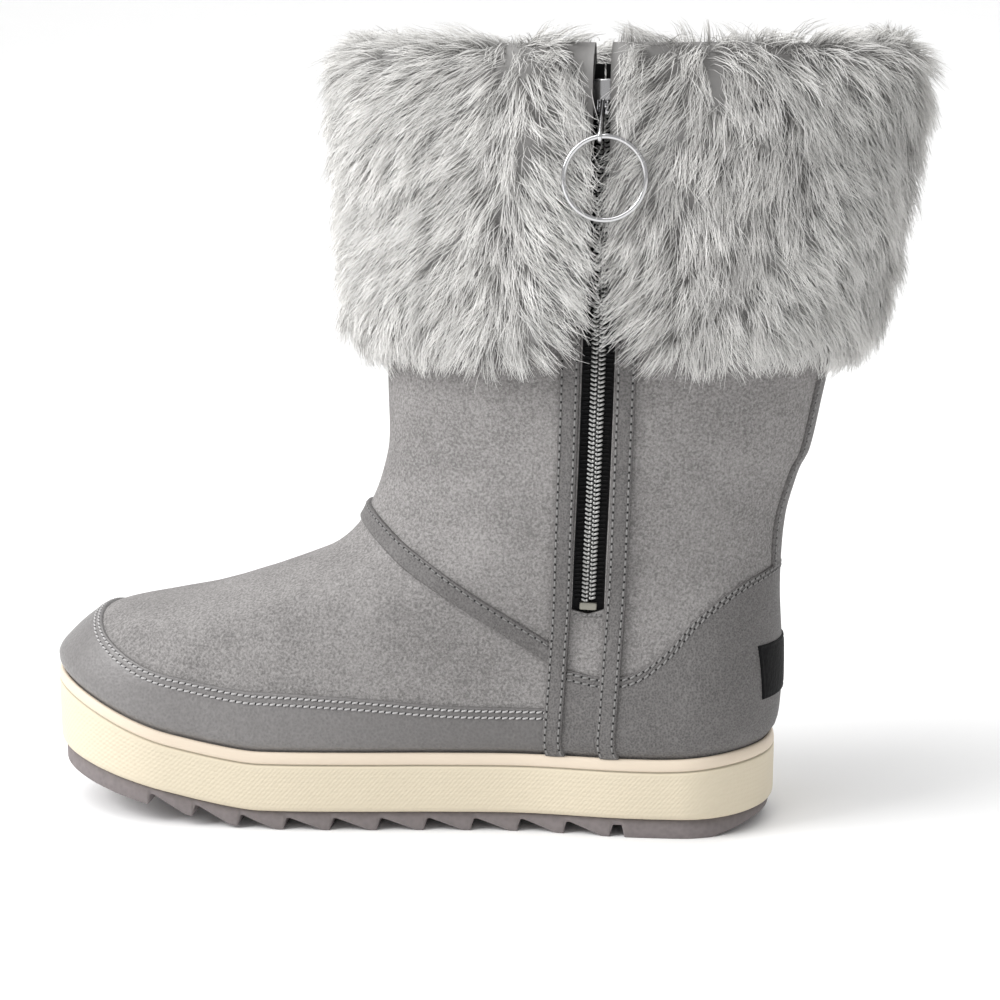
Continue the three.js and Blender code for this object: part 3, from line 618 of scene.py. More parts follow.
def cream_material(wall, rim):
    """Cream rubber: a paler rim, a thin dark line of painted shade in the groove under it and a fine
    slanting knurl on the wall.
    """
    material = plain_material("cream_rubber", wall, 0.55)
    tree = material.node_tree
    shader = tree.nodes["Principled BSDF"]
    drop, girth = attribute(tree, "drop"), attribute(tree, "girth")
    below = share_of(tree, drop, RIM_HEIGHT - 0.5, RIM_HEIGHT + 0.1)
    # Painted shade: the wall's colour darkened along the groove under the rim
    away = calculate(tree, "ABSOLUTE", calculate(tree, "SUBTRACT", drop, RIM_HEIGHT))
    line = calculate(tree, "SUBTRACT", 1.0, share_of(tree, away, 0.1, 0.55))
    tint = blend(tree, below, (*rim, 1), (*wall, 1))
    tint = blend(tree, calculate(tree, "MULTIPLY", line, 0.55), tint, shaded(wall, 0.42))
    tree.links.new(tint, shader.inputs["Base Color"])
    slant = calculate(tree, "MULTIPLY_ADD", drop, 0.9, girth)
    wave = calculate(tree, "SINE", calculate(tree, "MULTIPLY", slant, 2 * math.pi / KNURL_PITCH))
    step = calculate(tree, "SINE", calculate(tree, "MULTIPLY", drop, 2 * math.pi / KNURL_PITCH))
    knurl = calculate(tree, "MULTIPLY", calculate(tree, "ADD", wave, step), 0.5)
    flat = calculate(tree, "MULTIPLY", share_of(tree, drop, RIM_HEIGHT + 0.8, RIM_HEIGHT + 1.6), knurl)
    bump(tree, shader, flat, 0.35, 0.0002)
    return material


def fur_material(name, colour, root_tone_and_shade):
    """Hair that is darker at its root, partly its own colour and partly painted shade deep in the pile, each
    lock with its own tone, which also paints shade between the tufts.
    """
    material = plain_material(name, colour, 0.85)
    tree = material.node_tree
    shader = tree.nodes["Principled BSDF"]
    tip, shade = attribute(tree, "tip"), attribute(tree, "shade")
    # Random tone of each lock, spread wide so that it also paints shade between the tufts
    toned_and_shaded = blend(tree, shade, shaded(colour, 0.74), shaded(colour, 1.1))
    # Roots darker: partly the hair's own colour, partly painted shade deep in the pile
    tint = blend(tree, share_of(tree, tip, 0.0, 0.75), shaded(colour, root_tone_and_shade), toned_and_shaded)
    tree.links.new(tint, shader.inputs["Base Color"])
    return material


def finish(name):
    """The material of this name, made when it is first asked for."""
    label = f"{name}_finish"
    if label not in bpy.data.materials:
        FINISHES[name](bpy.context.scene.winter_boot.colours).name = label
    return bpy.data.materials[label]


FINISHES = {
    "suede": lambda c: grained_material(
        "suede", "nap", {"Speckle Scale": 1100.0, "Speckle": 2.8, "Cloud": 0.9},
        c.suede, 0.36, 0.95, (0.6, 0.0006), 0.15),
    "smooth_leather": lambda c: grained_material(
        "smooth_leather", "grain", {"Grain Scale": 1300.0, "Grain": 1.3, "Cloud": 0.6},
        c.leather, 0.3, 0.6, (0.5, 0.0005)),
    # Rand leather: the counter's leather at the far ends, with a painted highlight that turns it paler
    # towards the toe
    "rand_leather": lambda c: grained_material(
        "rand_leather", "grain", {"Grain Scale": 900.0, "Grain": 0.7, "Cloud": 0.4},
        c.leather, 0.2, 0.42, (0.35, 0.0004), 0.4, c.rand),
    "cream_rubber": lambda c: cream_material(c.cup, c.rim),
    "tread_rubber": lambda c: grained_material(
        "tread_rubber", "grain", {"Grain Scale": 500.0}, c.tread, 0.1, 0.75, (0.2, 0.0003)),
    "footbed": lambda c: grained_material(
        "footbed", "nap", {"Speckle": 1.5}, c.footbed, 0.3, 0.95, (0.6, 0.0006)),
    "badge_patch": lambda c: grained_material(
        "badge_patch", "grain", {"Grain Scale": 700.0}, c.badge, 0.3, 0.7, (0.4, 0.0004), 0.12),
    "zip_tape": lambda c: grained_material(
        "zip_tape", "weave", {}, c.tape, 0.5, 0.85, (0.5, 0.0003)),
    "zip_teeth": lambda c: plain_material("zip_teeth", c.teeth, 0.3, 0.75),
    "zip_stop": lambda c: plain_material("zip_stop", c.stop, 0.45, 0.7),
    "pull_metal": lambda c: plain_material("pull_metal", c.metal, 0.14, 1.0),
    "thread": lambda c: plain_material("thread", c.thread, 0.75),
    "pale_thread": lambda c: plain_material("pale_thread", c.pale_thread, 0.75),
    "needle_holes": lambda c: plain_material("needle_holes", c.hole_shade, 0.95),
    "fur_hair": lambda c: fur_material("fur_hair", c.fur, 0.5),
    # Ground of the fur cuff, painted dark as the shade deep in the pile
    "fur_base": lambda c: plain_material("fur_base", c.fur_base, 1.0),
}


# Panels, strips and stitches

LAYER = FIT + OVERLAY
EDGE_STEPS = np.array([
    0, 0.03, 0.1, 0.2, 0.35, 0.6, 0.85, 1.1, 1.4, 1.8, 2.2, 2.6, 3.0, 3.4, 3.8, 4.3, 5.1, 6.2, 7.5,
])
EDGE_RADIUS = 0.6
RAND_ROWS = (1.3, 3.5)
COUNTER_ROWS = (1.1, 3.2)
STRIP_INSET = 1.2
PIPING_INSET = 1.3
WIDE_STEP = 1.4


def rounded_edge(distance):
    return round_end(np.clip(distance, 0, None), EDGE_RADIUS)


def stitch_trough(distance, rows):
    """How far leather is drawn in at rows of stitches, each at a distance from its edge."""
    return sum(0.24 * np.exp(-((distance - row) / 0.6) ** 2) for row in rows)


def seam_z(rows, x, base, height):
    return base + between(rows, "rise", x_to_along(x)) * height


def apron_z(x):
    return seam_z(APRON_SEAM, x, cup_top(x) + 2 * FIT, RAND_HEIGHT)


def counter_z(x):
    return seam_z(COUNTER_SEAM, x, cup_top(along_to_x(0)) + 2 * FIT, COUNTER_HEIGHT)


def piping_z(x):
    return seam_z(PIPING_LINE, x, 0, INSTEP_HEIGHT)


def spread_columns(count, length):
    """Shares from 0 to 1, closer together near both ends, where a panel has its edges."""
    ends = EDGE_STEPS / length
    return np.concatenate([ends, np.linspace(ends[-1], 1 - ends[-1], count)[1:-1], 1 - ends[::-1]])


def crossing(turn_of, height_of):
    """Climb at which each column of turns crosses a seam, whose z depends on x."""
    def rising(climb):
        point = surface(turn_of(climb), climb)
        return point[..., 2] - height_of(point[..., 0])
    start = turn_of(np.zeros(1)).shape
    return solve(rising, np.full(start, CUP_KNOT * 0.6), np.full(start, COLLAR_KNOT))


class Panel:
    """A panel of leather between the cup and a seam, from one turn to another."""

    def __init__(self, turns, height_of, columns, length):
        self.shares = spread_columns(columns, length)
        self.turns = turns
        self.length = length
        self.seam = crossing(lambda climb: turns(self.shares, climb), height_of)

    def line(self, distance):
        """Turns and climbs along a line a distance below the seam."""
        climb = self.seam - distance
        return self.turns(self.shares, climb), climb

    def mesh(self, rows, stitch_rows):
        foot = CUP_KNOT - 0.8
        down = [np.full_like(self.seam, step) for step in EDGE_STEPS]
        for share in np.linspace(0, 1, rows)[1:]:
            down.append(mix(EDGE_STEPS[-1], self.seam - foot, share))
        down = np.stack(down)
        climb = self.seam - down
        turn = self.turns(self.shares, climb)
        beside = np.minimum(self.shares, 1 - self.shares) * self.length
        edge = np.minimum(down, beside)
        tuck = smooth((climb - CUP_KNOT) / 2)
        height = OVERLAY * rounded_edge(edge) * mix(0.3, 1, tuck)
        height += FIT * mix(-0.5, 1, tuck * smooth(edge / 0.2))
        height -= stitch_trough(down, stitch_rows)
        points = skin(turn, climb, height)
        points = points + outward(turn, climb) * (creases(points) * tuck)[..., None]
        return points, grid_faces(*turn.shape)


def band_mesh(turn, climb, across, top, stitch_rows):
    """A strip on the last: grids of turns and climbs, with places across its width in columns."""
    edge = np.minimum(across, across[-1] - across)
    height = top * rounded_edge(edge) - stitch_trough(across, stitch_rows)
    height = np.where(edge <= 0, -0.2, height)
    return skin(turn, climb, np.broadcast_to(height, turn.shape)), grid_faces(*turn.shape)


def across_steps(width):
    """Places across a width, closer together near its edges."""
    near = EDGE_STEPS[EDGE_STEPS < width / 2 - 0.3]
    inside = width - 2 * near[-1]
    middle = np.linspace(near[-1], width - near[-1], max(3, round(inside / WIDE_STEP) + 1))
    return np.concatenate([near, middle[1:-1], width - near[::-1]])


def along_path(points, pitch):
    """Places along a path, a pitch apart, as indices with fractions."""
    gone = np.concatenate([[0], np.cumsum(np.linalg.norm(np.diff(points, axis=0), axis=1))])
    count = max(2, round(gone[-1] / pitch))
    return np.interp((np.arange(count) + 0.5) * gone[-1] / count, gone, np.arange(len(points)))


THREAD_ARCH = np.array([(-0.5, -0.5), (-0.36, 0.12), (-0.12, 0.32), (0.12, 0.32), (0.36, 0.12), (0.5, -0.5)])
THREAD_SIDES = 6
HOLE_SIDES = 8
HOLE_RADIUS = 0.42


class StitchRow:
    """A row of stitches on the last, along turns and climbs at an offset, and its needle holes."""

    def __init__(self, turn, climb, offset, pitch, radius=0.36, gap=0.22, slant=0.0):
        points = skin(turn, climb, offset)
        places = along_path(points, pitch)
        index = np.arange(len(points))

        def at(step):
            return np.stack([np.interp(places + step, index, points[:, k]) for k in range(3)], -1)

        self.pitch, self.radius, self.long, self.slant = pitch, radius, pitch * (1 - gap), slant
        self.centre = at(0.0)
        self.normal = outward(np.interp(places, index, turn), np.interp(places, index, climb))
        forward = at(0.2) - at(-0.2)
        self.forward = forward / np.linalg.norm(forward, axis=1, keepdims=True)
        self.sideways = np.cross(self.normal, self.forward)

    def threads(self):
        rings = []
        for share, rise in THREAD_ARCH:
            middle = self.centre + self.forward * (share * self.long)
            middle = middle + self.sideways * (share * self.slant) + self.normal * (rise * self.radius * 1.6)
            for k in range(THREAD_SIDES):
                angle = 2 * math.pi * k / THREAD_SIDES
                across = self.sideways * math.cos(angle) + self.normal * math.sin(angle)
                rings.append(middle + across * self.radius)
        faces = grid_faces(len(THREAD_ARCH), THREAD_SIDES, closed=True)
        start = np.arange(len(self.centre))[:, None, None] * len(rings)
        return np.stack(rings, 1).reshape(-1, 3), (faces[None] + start).reshape(-1, 4)

    def hole_shade(self):
        """Flat dark discs of painted shadow where the thread goes down between two stitches."""
        middle = self.centre + self.forward * (self.pitch / 2) + self.normal * 0.06
        rim = []
        for k in range(HOLE_SIDES):
            angle = 2 * math.pi * k / HOLE_SIDES
            along, aside = math.cos(angle) * HOLE_RADIUS, math.sin(angle) * HOLE_RADIUS
            rim.append(middle + self.forward * along + self.sideways * aside)
        faces = np.array([(0, 1, 2, 3), (0, 3, 4, 7), (4, 5, 6, 7)])
        start = np.arange(len(middle))[:, None, None] * HOLE_SIDES
        return np.stack(rim, 1).reshape(-1, 3), (faces[None] + start).reshape(-1, 4)


def sew(name, rows, thread="thread"):
    """Rows of stitches and the painted shadow of their needle holes as two pieces."""
    build(f"{name}_stitches", *join(*(row.threads() for row in rows)), "smooth_leather", finish(thread))
    build(f"{name}_holes", *join(*(row.hole_shade() for row in rows)), "smooth_leather", finish("needle_holes"))


def edge_turn(x, shares, climb):
    shape = np.broadcast(shares, climb).shape
    return turn_at(np.full(shape, x), np.broadcast_to(climb, shape))


def front_turns(x):
    """Turns from the inner side at x, round the toe, to the outer side at x."""
    return lambda shares, climb: math.pi + (1 - 2 * shares) * (math.pi - edge_turn(x, shares, climb))


def heel_turns(x):
    """Turns from the inner side at x, round the heel, to the outer side at x."""
    return lambda shares, climb: (2 * shares - 1) * edge_turn(x, shares, climb)


# Folds where the boot bends in walking: middle, direction in degrees, half length, width and depth
FOLDS = table(
    "x z slope long wide deep",
    (-118, 84, 28, 20, 4.5, 0.55),
    (-134, 78, 38, 17, 4.0, 0.50),
    (-152, 71, 50, 15, 5.0, 0.40),
    (-96, 72, 20, 22, 5.0, 0.45),
    (-74, 62, 8, 20, 4.5, 0.35),
    (-104, 96, 34, 14, 3.8, 0.45),
    (-64, 112, 12, 22, 6.0, 0.55),
    (-84, 132, -8, 18, 5.5, 0.45),
    (-6, 104, -14, 20, 5.0, 0.55),
    (-2, 124, -6, 22, 6.0, 0.50),
    (12, 142, 4, 20, 6.0, 0.40),
    (-172, 66, 62, 12, 5.0, 0.30),
)


def creases(points):
    """Rise of the leather at its folds: a soft trough with a ridge on either side."""
    rise = np.zeros(points.shape[:-1])
    for x, z, slope, long, wide, deep in zip(*FOLDS.values()):
        angle = math.radians(slope)
        along = (points[..., 0] - x) * math.cos(angle) - (points[..., 2] - z) * math.sin(angle)
        off = (points[..., 0] - x) * math.sin(angle) + (points[..., 2] - z) * math.cos(angle)
        off = off + along * along * 0.006
        shape = np.exp(-((off / wide) ** 2)) * (1.6 * (off / wide) ** 2 - 1)
        rise = rise + deep * shape * np.exp(-((along / long) ** 2))
    return rise


# Solid shapes for metal parts


def rounded_block(centre, halves, power=0.35, rows=10, columns=16):
    """A block with rounded edges, along X, Y and Z."""
    slope, angle = np.linspace(-math.pi / 2, math.pi / 2, rows), np.arange(columns) * 2 * math.pi / columns
    up, round_ = np.meshgrid(slope, angle, indexing="ij")

    def bent(value):
        return np.sign(value) * np.abs(value) ** power

    girth = bent(np.cos(up))
    x, y, z = girth * bent(np.cos(round_)), girth * bent(np.sin(round_)), bent(np.sin(up))
    points = np.stack([x, y, z], -1) * np.asarray(halves) + np.asarray(centre)
    return points.reshape(-1, 3), grid_faces(rows, columns, closed=True)


def swept_loop(centres, first, second, sides=12):
    """A closed loop of wire through centres, given the two half axes of its section at each."""
    angle = np.arange(sides) * 2 * math.pi / sides
    rings = centres[:, None] + first[:, None] * np.cos(angle)[None, :, None]
    rings = rings + second[:, None] * np.sin(angle)[None, :, None]
    rings = np.concatenate([rings, rings[:1]])
    return rings.reshape(-1, 3), grid_faces(len(rings), sides, closed=True)


def placed_blocks(centre, axes, halves, rows=5, columns=8, power=0.5):
    """A small rounded block at each centre, turned to its own three axes."""
    points, faces = rounded_block((0, 0, 0), halves, power, rows, columns)
    made = centre[:, None] + sum(axis[:, None] * points[None, :, k:k + 1] for k, axis in enumerate(axes))
    start = np.arange(len(centre))[:, None, None] * len(points)
    return made.reshape(-1, 3), (faces[None] + start).reshape(-1, 4)


# Pieces of leather


def upper_mesh():
    """The suede upper as one wall round the last, open behind the zip."""
    columns, rows = 230, 115
    low = np.linspace(0, CUP_KNOT, 5)[:-1]
    climbs = np.sort(np.concatenate([low, np.linspace(CUP_KNOT, COLLAR_KNOT, rows - 4)]))
    share, climb = np.meshgrid(np.linspace(0, 1, columns), climbs)
    z = surface(np.full(rows, -1.0), climbs)[:, 2]
    turns = {}
    for side in (1, -1):
        for _ in range(4):
            half = (ZIP_GAP / 2 - FIT) * smooth((z - ZIP_FOOT + 0.5) / 0.5)
            turns[side] = -turn_at(zip_x(z) + side * half, climbs)
            z = surface(turns[side], climbs)[:, 2]
    open_rows = half > 0
    turn = mix(turns[1][:, None], turns[-1][:, None] + 2 * math.pi, share)
    outer = skin(turn, climb, 0.0)
    sunk = smooth((climb - CUP_KNOT) / 6)
    outer = outer + outward(turn, climb) * (creases(outer) * sunk)[..., None]
    inner = skin(turn, climb, -WALL)
    points, faces = join((outer, grid_faces(rows, columns)), (inner, grid_faces(rows, columns)[:, ::-1]))
    count = rows * columns
    i = np.arange(columns - 1) + (rows - 1) * columns
    top = np.stack([i, i + 1, i + 1 + count, i + count], -1)
    j = np.arange(rows - 1)[open_rows[1:]] * columns
    rear_edge = np.stack([j, j + columns, j + columns + count, j + count], -1)
    front_edge = rear_edge[:, ::-1] + columns - 1
    same = np.arange(2 * count)
    shut = np.arange(rows)[~open_rows] * columns
    for start in (0, count):
        same[shut + columns - 1 + start] = shut + start
    return points, same[np.concatenate([faces, top, rear_edge, front_edge])]


def piping_lines(place):
    """Turns and climbs of the piping at a place across its width, from the inner side round the front."""
    inner_x = np.array([zip_x(95.0) - ZIP_GAP / 2 - STRIP_WIDTH + 0.8])
    outer_x = np.array([HEEL_REACH - SIDE_SEAM])
    inner = side_place(inner_x, piping_z(inner_x), -1)[0][0] + 2 * math.pi
    outer = side_place(outer_x, piping_z(outer_x), 1)[0][0]
    turn = np.linspace(inner, outer, 260)

    def height(x):
        slope = piping_z(x + 0.5) - piping_z(x - 0.5)
        return piping_z(x) + (place - PIPING_WIDTH / 2) * np.sqrt(1 + slope**2)

    return turn, crossing(lambda climb: np.broadcast_to(turn, np.broadcast(turn, climb).shape), height)


def strip_lines(side, across, z):
    x = zip_x(z)[:, None] + side * (ZIP_GAP / 2 + across[None, :])
    return side_place(x, np.broadcast_to(z[:, None], x.shape), -1)


def zip_frame(z, along):
    """Points on the zip's line at heights z and along across it, with their three axes."""
    turn, climb = side_place(zip_x(z) + along, z, -1)
    above = surface(*side_place(zip_x(z + 1.0) + along, z + 1.0, -1))
    normal = outward(turn, climb)
    up = above - surface(turn, climb)
    up /= np.linalg.norm(up, axis=-1, keepdims=True)
    return turn, climb, normal, up, np.cross(up, normal)


def level_seam(z, reach):
    """Turns and climbs of a short level line across the zip's own line."""
    along = np.linspace(-reach, reach, 40)
    return side_place(zip_x(np.full(40, z)) + along, np.full(40, z), -1)


# Sole


KNURL_PITCH = 1.7


def wall_rows():
    """Rows of the cup's outside, rim and inside: the inset and the height of each."""
    foot, top = cup_foot, cup_top
    rows = [(2.6, foot, 0.0), (1.4, foot, 0.0), (0.7, foot, 0.45), (0.3, foot, 1.1)]
    rows += [(0.1, foot, 1.8), (0.02, foot, 3.5)]
    rows += [(0.0, top, -RIM_HEIGHT - drop) for drop in (8.0, 4.0, 2.0, 0.8)]
    rows += [(0.15, top, -RIM_HEIGHT - 0.4), (0.6, top, -RIM_HEIGHT - 0.2), (0.85, top, -RIM_HEIGHT)]
    rows += [(0.6, top, -RIM_HEIGHT + 0.25), (0.2, top, -RIM_HEIGHT + 0.5), (0.05, top, -RIM_HEIGHT + 0.9)]
    rows += [(0.05, top, -2.9), (0.1, top, -2.2), (0.3, top, -1.3), (0.65, top, -0.5)]
    rows += [(1.1, top, -0.1), (1.5, top, 0.0)]
    rows += [(2.1, top, -0.05), (RIM_WIDTH, top, -0.4), (RIM_WIDTH, top, -3.0), (RIM_WIDTH, top, -CUP_DEPTH)]
    return rows


def cup_mesh():
    turn = np.linspace(0, 2 * math.pi, 421)
    rings, drops = [], []
    for inset, height, rise in wall_rows():
        plan = plan_ring(turn, inset)
        z = height(plan[:, 0]) + rise
        rings.append(np.column_stack([plan, z]))
        drops.append(cup_top(plan[:, 0]) - z)
    middle = np.array([0, TOE_CURL * 0.3, 0])
    under, floor = rings[0] * [1, 0, 1] - middle, rings[-1] * [1, 0, 1] - middle
    points = np.stack([under, *rings, floor])
    drops = np.stack([drops[0], *drops, drops[-1]])
    edge = plan_edge(turn)
    girth = np.concatenate([[0], np.cumsum(np.linalg.norm(np.diff(edge, axis=0), axis=1))])
    return points, grid_faces(*drops.shape), {"drop": drops, "girth": np.broadcast_to(girth, drops.shape)}


def tread_profile():
    """Bottom line of the outsole as x and z, from the toe to the heel."""
    tip = LAST_TOOTH - TOOTH_COUNT * TREAD_PITCH
    points = [(along_to_x(1) - TREAD_PITCH, 0.0), (tip, 0.0), (tip + TREAD_UNDERCUT, TREAD_DEPTH)]
    for k in range(TOOTH_COUNT - 1, -1, -1):
        tip = LAST_TOOTH - k * TREAD_PITCH
        points += [(tip - TREAD_PITCH + 2 * TREAD_UNDERCUT, TREAD_DEPTH), (tip - TREAD_LAND, 0.0)]
        points += [(tip, 0.0), (tip + TREAD_UNDERCUT, TREAD_DEPTH)]
    points += [(-HEEL_FLAT / 2 - 1, TREAD_DEPTH), (-HEEL_FLAT / 2, 0.0), (HEEL_FLAT / 2, 0.0)]
    points += [(HEEL_REACH + TREAD_INSET, HEEL_BEVEL)]
    return np.array(points)


def eased(points, radius):
    """A line's corners cut into three, so that they render as rounded edges."""
    made = [points[0]]
    for before, corner, after in zip(points, points[1:], points[2:]):
        ends = []
        for other in (before, after):
            away = other - corner
            length = np.linalg.norm(away)
            ends.append(corner + away / length * min(radius, length * 0.45))
        made += [ends[0], corner * 0.5 + (ends[0] + ends[1]) / 4, ends[1]]
    made.append(points[-1])
    return np.array(made)


def tread_mesh():
    line = eased(tread_profile(), 0.35)
    turn = np.linspace(0, math.pi, 500)
    outer, inner = plan_ring(turn, TREAD_INSET), plan_ring(-turn, TREAD_INSET)
    x_low, x_high = outer[-1, 0] + 0.05, outer[0, 0] - 0.05
    near = 6 * np.linspace(0, 1, 14) ** 2
    x = np.concatenate([line[:, 0], np.linspace(x_low, x_high, 260), x_low + near, x_high - near])
    x = np.unique(np.round(x, 3))
    x = x[(x >= x_low) & (x <= x_high)]
    z = np.interp(x, line[:, 0], line[:, 1]) + toe_spring(x)
    left = np.interp(x, inner[::-1, 0], inner[::-1, 1])
    right = np.interp(x, outer[::-1, 0], outer[::-1, 1])
    top = cup_foot(x) - FIT
    bevel = np.minimum(0.4, (right - left) / 4)
    section = [(left, top), (left, z + 0.4), (left + bevel * 0.3, z + 0.12), (left + bevel, z)]
    section += [(mix(left, right, share), z) for share in (0.2, 0.4, 0.6, 0.8)]
    section += [(right - bevel, z), (right - bevel * 0.3, z + 0.12), (right, z + 0.4), (right, top)]
    rings = np.stack([np.column_stack([x, y, np.minimum(height, top)]) for y, height in section], 1)
    return rings, grid_faces(*rings.shape[:2], closed=True)


def insole_mesh():
    inset = RIM_WIDTH + 2 * FIT + WALL
    turn = np.linspace(0, 2 * math.pi, 201)
    rows = [(inset, FIT), (inset, 3.2), (inset + 0.4, 4.3), (inset + 1.5, INSOLE), (inset + 6, INSOLE)]
    rings = []
    for drawn_in, rise in rows:
        plan = plan_ring(turn, drawn_in)
        rings.append(np.column_stack([plan, cup_top(plan[:, 0]) - CUP_DEPTH + rise]))
    rings.append(rings[-1] * [1, 0, 1] - np.array([0, TOE_CURL * 0.3, 0]))
    points = np.stack(rings)
    return points, grid_faces(*points.shape[:2])


# Zip pull

ZIP_FACE = -float(shaft_ends(SLIDE_HEIGHT)[2])
SLIDE_X = float(zip_x(SLIDE_HEIGHT))
PIN = np.array([SLIDE_X, ZIP_FACE - PIN_REACH, SLIDE_HEIGHT - SLIDE_LENGTH / 2 + PIN_RISE])
LINK_TILT = math.radians(50)
LINK_WAY = np.array([0, -math.sin(LINK_TILT), -math.cos(LINK_TILT)])
EYE = PIN + LINK_WAY * LINK_LENGTH
RING_LEAN = math.radians(7)
RING_MIDDLE = EYE + np.array([RING_RADIUS * math.sin(RING_LEAN), 0, -RING_RADIUS * math.cos(RING_LEAN)])


STOP_HALVES = (3.2, 1.35, 1.0)
STOP_POWER = 0.25


def slider_mesh():
    """The slider's body with a raised face and the two cheeks that hold the pin."""
    back, face = ZIP_FACE + WALL, ZIP_FACE - SLIDE_FACE
    middle = (back + face) / 2
    deep = (back - face) / 2
    shapes = [rounded_block((SLIDE_X, middle, SLIDE_HEIGHT + 1.2), (SLIDE_WIDTH / 2, deep, 4.8), 0.3)]
    nose = (SLIDE_WIDTH / 2 - 1.2, deep - 0.1, 3.8)
    shapes.append(rounded_block((SLIDE_X, middle, SLIDE_HEIGHT - 2.2), nose, 0.3))
    for side in (-1, 1):
        x = SLIDE_X + side * (0.8 + FIT + 0.65)
        shapes.append(rounded_block((x, (ZIP_FACE + PIN[1] - 1.6) / 2, PIN[2]), (0.62, 4.1, 2.0), 0.5))
    shapes.append(rounded_block(PIN, (2.3, 0.85, 0.85), 0.7, 12, 16))
    return join(*shapes)


def link_mesh():
    """A flat loop from the slider's pin to the ring."""
    reach = 1.55
    across = np.array([0, LINK_WAY[2], -LINK_WAY[1]])
    angle = np.linspace(0, math.pi, 15)
    near = [PIN + across * (reach * math.cos(a)) - LINK_WAY * (reach * math.sin(a)) for a in angle]
    far = [EYE - across * (reach * math.cos(a)) + LINK_WAY * (reach * math.sin(a)) for a in angle]
    centres = np.array(near + far)
    way = np.roll(centres, -1, 0) - np.roll(centres, 1, 0)
    way /= np.linalg.norm(way, axis=1, keepdims=True)
    flat = np.tile(np.array([1.0, 0, 0]), (len(centres), 1))
    return swept_loop(centres, flat * 0.78, np.cross(way, flat) * 0.68)


def ring_mesh():
    angle = np.arange(96) * 2 * math.pi / 96
    spoke = np.stack([np.sin(angle), np.zeros(96), np.cos(angle)], -1)
    centres = RING_MIDDLE + spoke * RING_RADIUS
    wire = np.tile(np.array([0, RING_WIRE / 2, 0]), (96, 1))
    return swept_loop(centres, spoke * RING_WIRE / 2, wire, 16)


def teeth_mesh():
    """Two facing columns of teeth, each tooth tilted towards the other column."""
    z = np.arange(ZIP_FOOT + STOP_HEIGHT + 1.2, SLIDE_HEIGHT - SLIDE_LENGTH / 2 - 0.6, TOOTH_PITCH)
    shapes = []
    for side in (-1, 1):
        turn, climb, normal, up, aside = zip_frame(z + (side + 1) * TOOTH_PITCH / 4, side * 1.55)
        way = aside + up * side * 0.42
        way /= np.linalg.norm(way, axis=1, keepdims=True)
        centre = surface(turn, climb) - normal * 0.35
        shapes.append(placed_blocks(centre, (way, np.cross(normal, way), normal), (1.2, 0.46, 0.62)))
        centre = surface(turn, climb) - normal * 0.2 - aside * side * 0.95
        shapes.append(placed_blocks(centre, (way, np.cross(normal, way), normal), (0.5, 0.62, 0.62)))
    return join(*shapes)


def ladder_mesh():
    """Binding threads that hold the teeth on the tapes, one beside each tooth."""
    z = np.arange(ZIP_FOOT + STOP_HEIGHT + 1.2, SLIDE_HEIGHT - SLIDE_LENGTH / 2 - 0.6, TOOTH_PITCH)
    shapes = []
    for side in (-1, 1):
        turn, climb, normal, up, aside = zip_frame(z + (side + 1) * TOOTH_PITCH / 4, side * 3.9)
        centre = surface(turn, climb) - normal * (WALL + FIT - 0.35)
        shapes.append(placed_blocks(centre, (aside, up, normal), (1.35, 0.34, 0.42)))
    return join(*shapes)


# Fur

HAIR_RINGS = 4
# Profile of the cuff's base from the outer hem over the collar to the inside: offset and height
PILE_PROFILE = table(
    "offset height",
    (6.5, CUFF_FOOT + 4),
    (9.5, CUFF_FOOT + 7),
    (11.5, CUFF_FOOT + 13),
    (12.5, CUFF_FOOT + 25),
    (13.0, CUFF_FOOT + 55),
    (12.5, CUFF_TOP - 26),
    (11.0, CUFF_TOP - 14),
    (7.0, CUFF_TOP - 7),
    (1.5, CUFF_TOP - 5),
    (-4.0, CUFF_TOP - 8),
    (-7.0, CUFF_TOP - 15),
    (-8.2, SHAFT_TOP - CUFF_TUCK),
)
PILE_BACK = (
    (-4.2, SHAFT_TOP - CUFF_TUCK),
    (-4.2, SHAFT_TOP + FIT),
    (3.6, SHAFT_TOP + FIT),
    (3.6, CUFF_FOOT + 5),
)
FUR_CROWN = 8
# Where the fur parts on the inner side, as x from the zip's line: the front and the rear parting
PART_FRONT = -30.0
PART_REAR = 30.0


def cuff_axes(level):
    """Middle, half depth and half width of the shaft at a level, held above its top."""
    front, back, half = shaft_ends(np.minimum(level, SHAFT_TOP))
    return (front + back) / 2, (back - front) / 2, half


def cuff_point(turn, level, offset):
    """Points round the cuff at an offset from the shaft; turn is 0 at the heel."""
    middle, deep, half = cuff_axes(level)
    x, y = middle + (deep + offset) * np.cos(turn), (half + offset) * np.sin(turn)
    return np.stack(np.broadcast_arrays(x, y, level), -1)


def slit_half(z):
    """Half the gap between the cuff's two ends at a height."""
    return mix(CUFF_VEE, CUFF_SLIT / 2, 1 - np.clip(1 - (z - CUFF_FOOT) / CUFF_VEE_HEIGHT, 0, 1) ** 1.6)


def slit_turns(level, offset, gap):
    """Turns of the slit's rear and front edge, both under 0, at a level and offset."""
    middle, deep, _ = cuff_axes(level)
    edges = [(zip_x(level) + side * (slit_half(level) + gap) - middle) / (deep + offset) for side in (1, -1)]
    return [-np.arccos(np.clip(edge, -1, 1)) for edge in edges]


def lumps(points, seed, size):
    """Smooth noise between about -1 and 1 whose features have a size in millimetres."""
    rng = np.random.default_rng(seed)
    total = np.zeros(points.shape[:-1])
    for _ in range(10):
        way = rng.normal(0, 1, 3)
        way *= rng.uniform(0.6, 1.5) / np.linalg.norm(way) / size * 2 * math.pi
        total += np.sin(points @ way + rng.uniform(0, 2 * math.pi))
    return total / math.sqrt(10) * 1.1


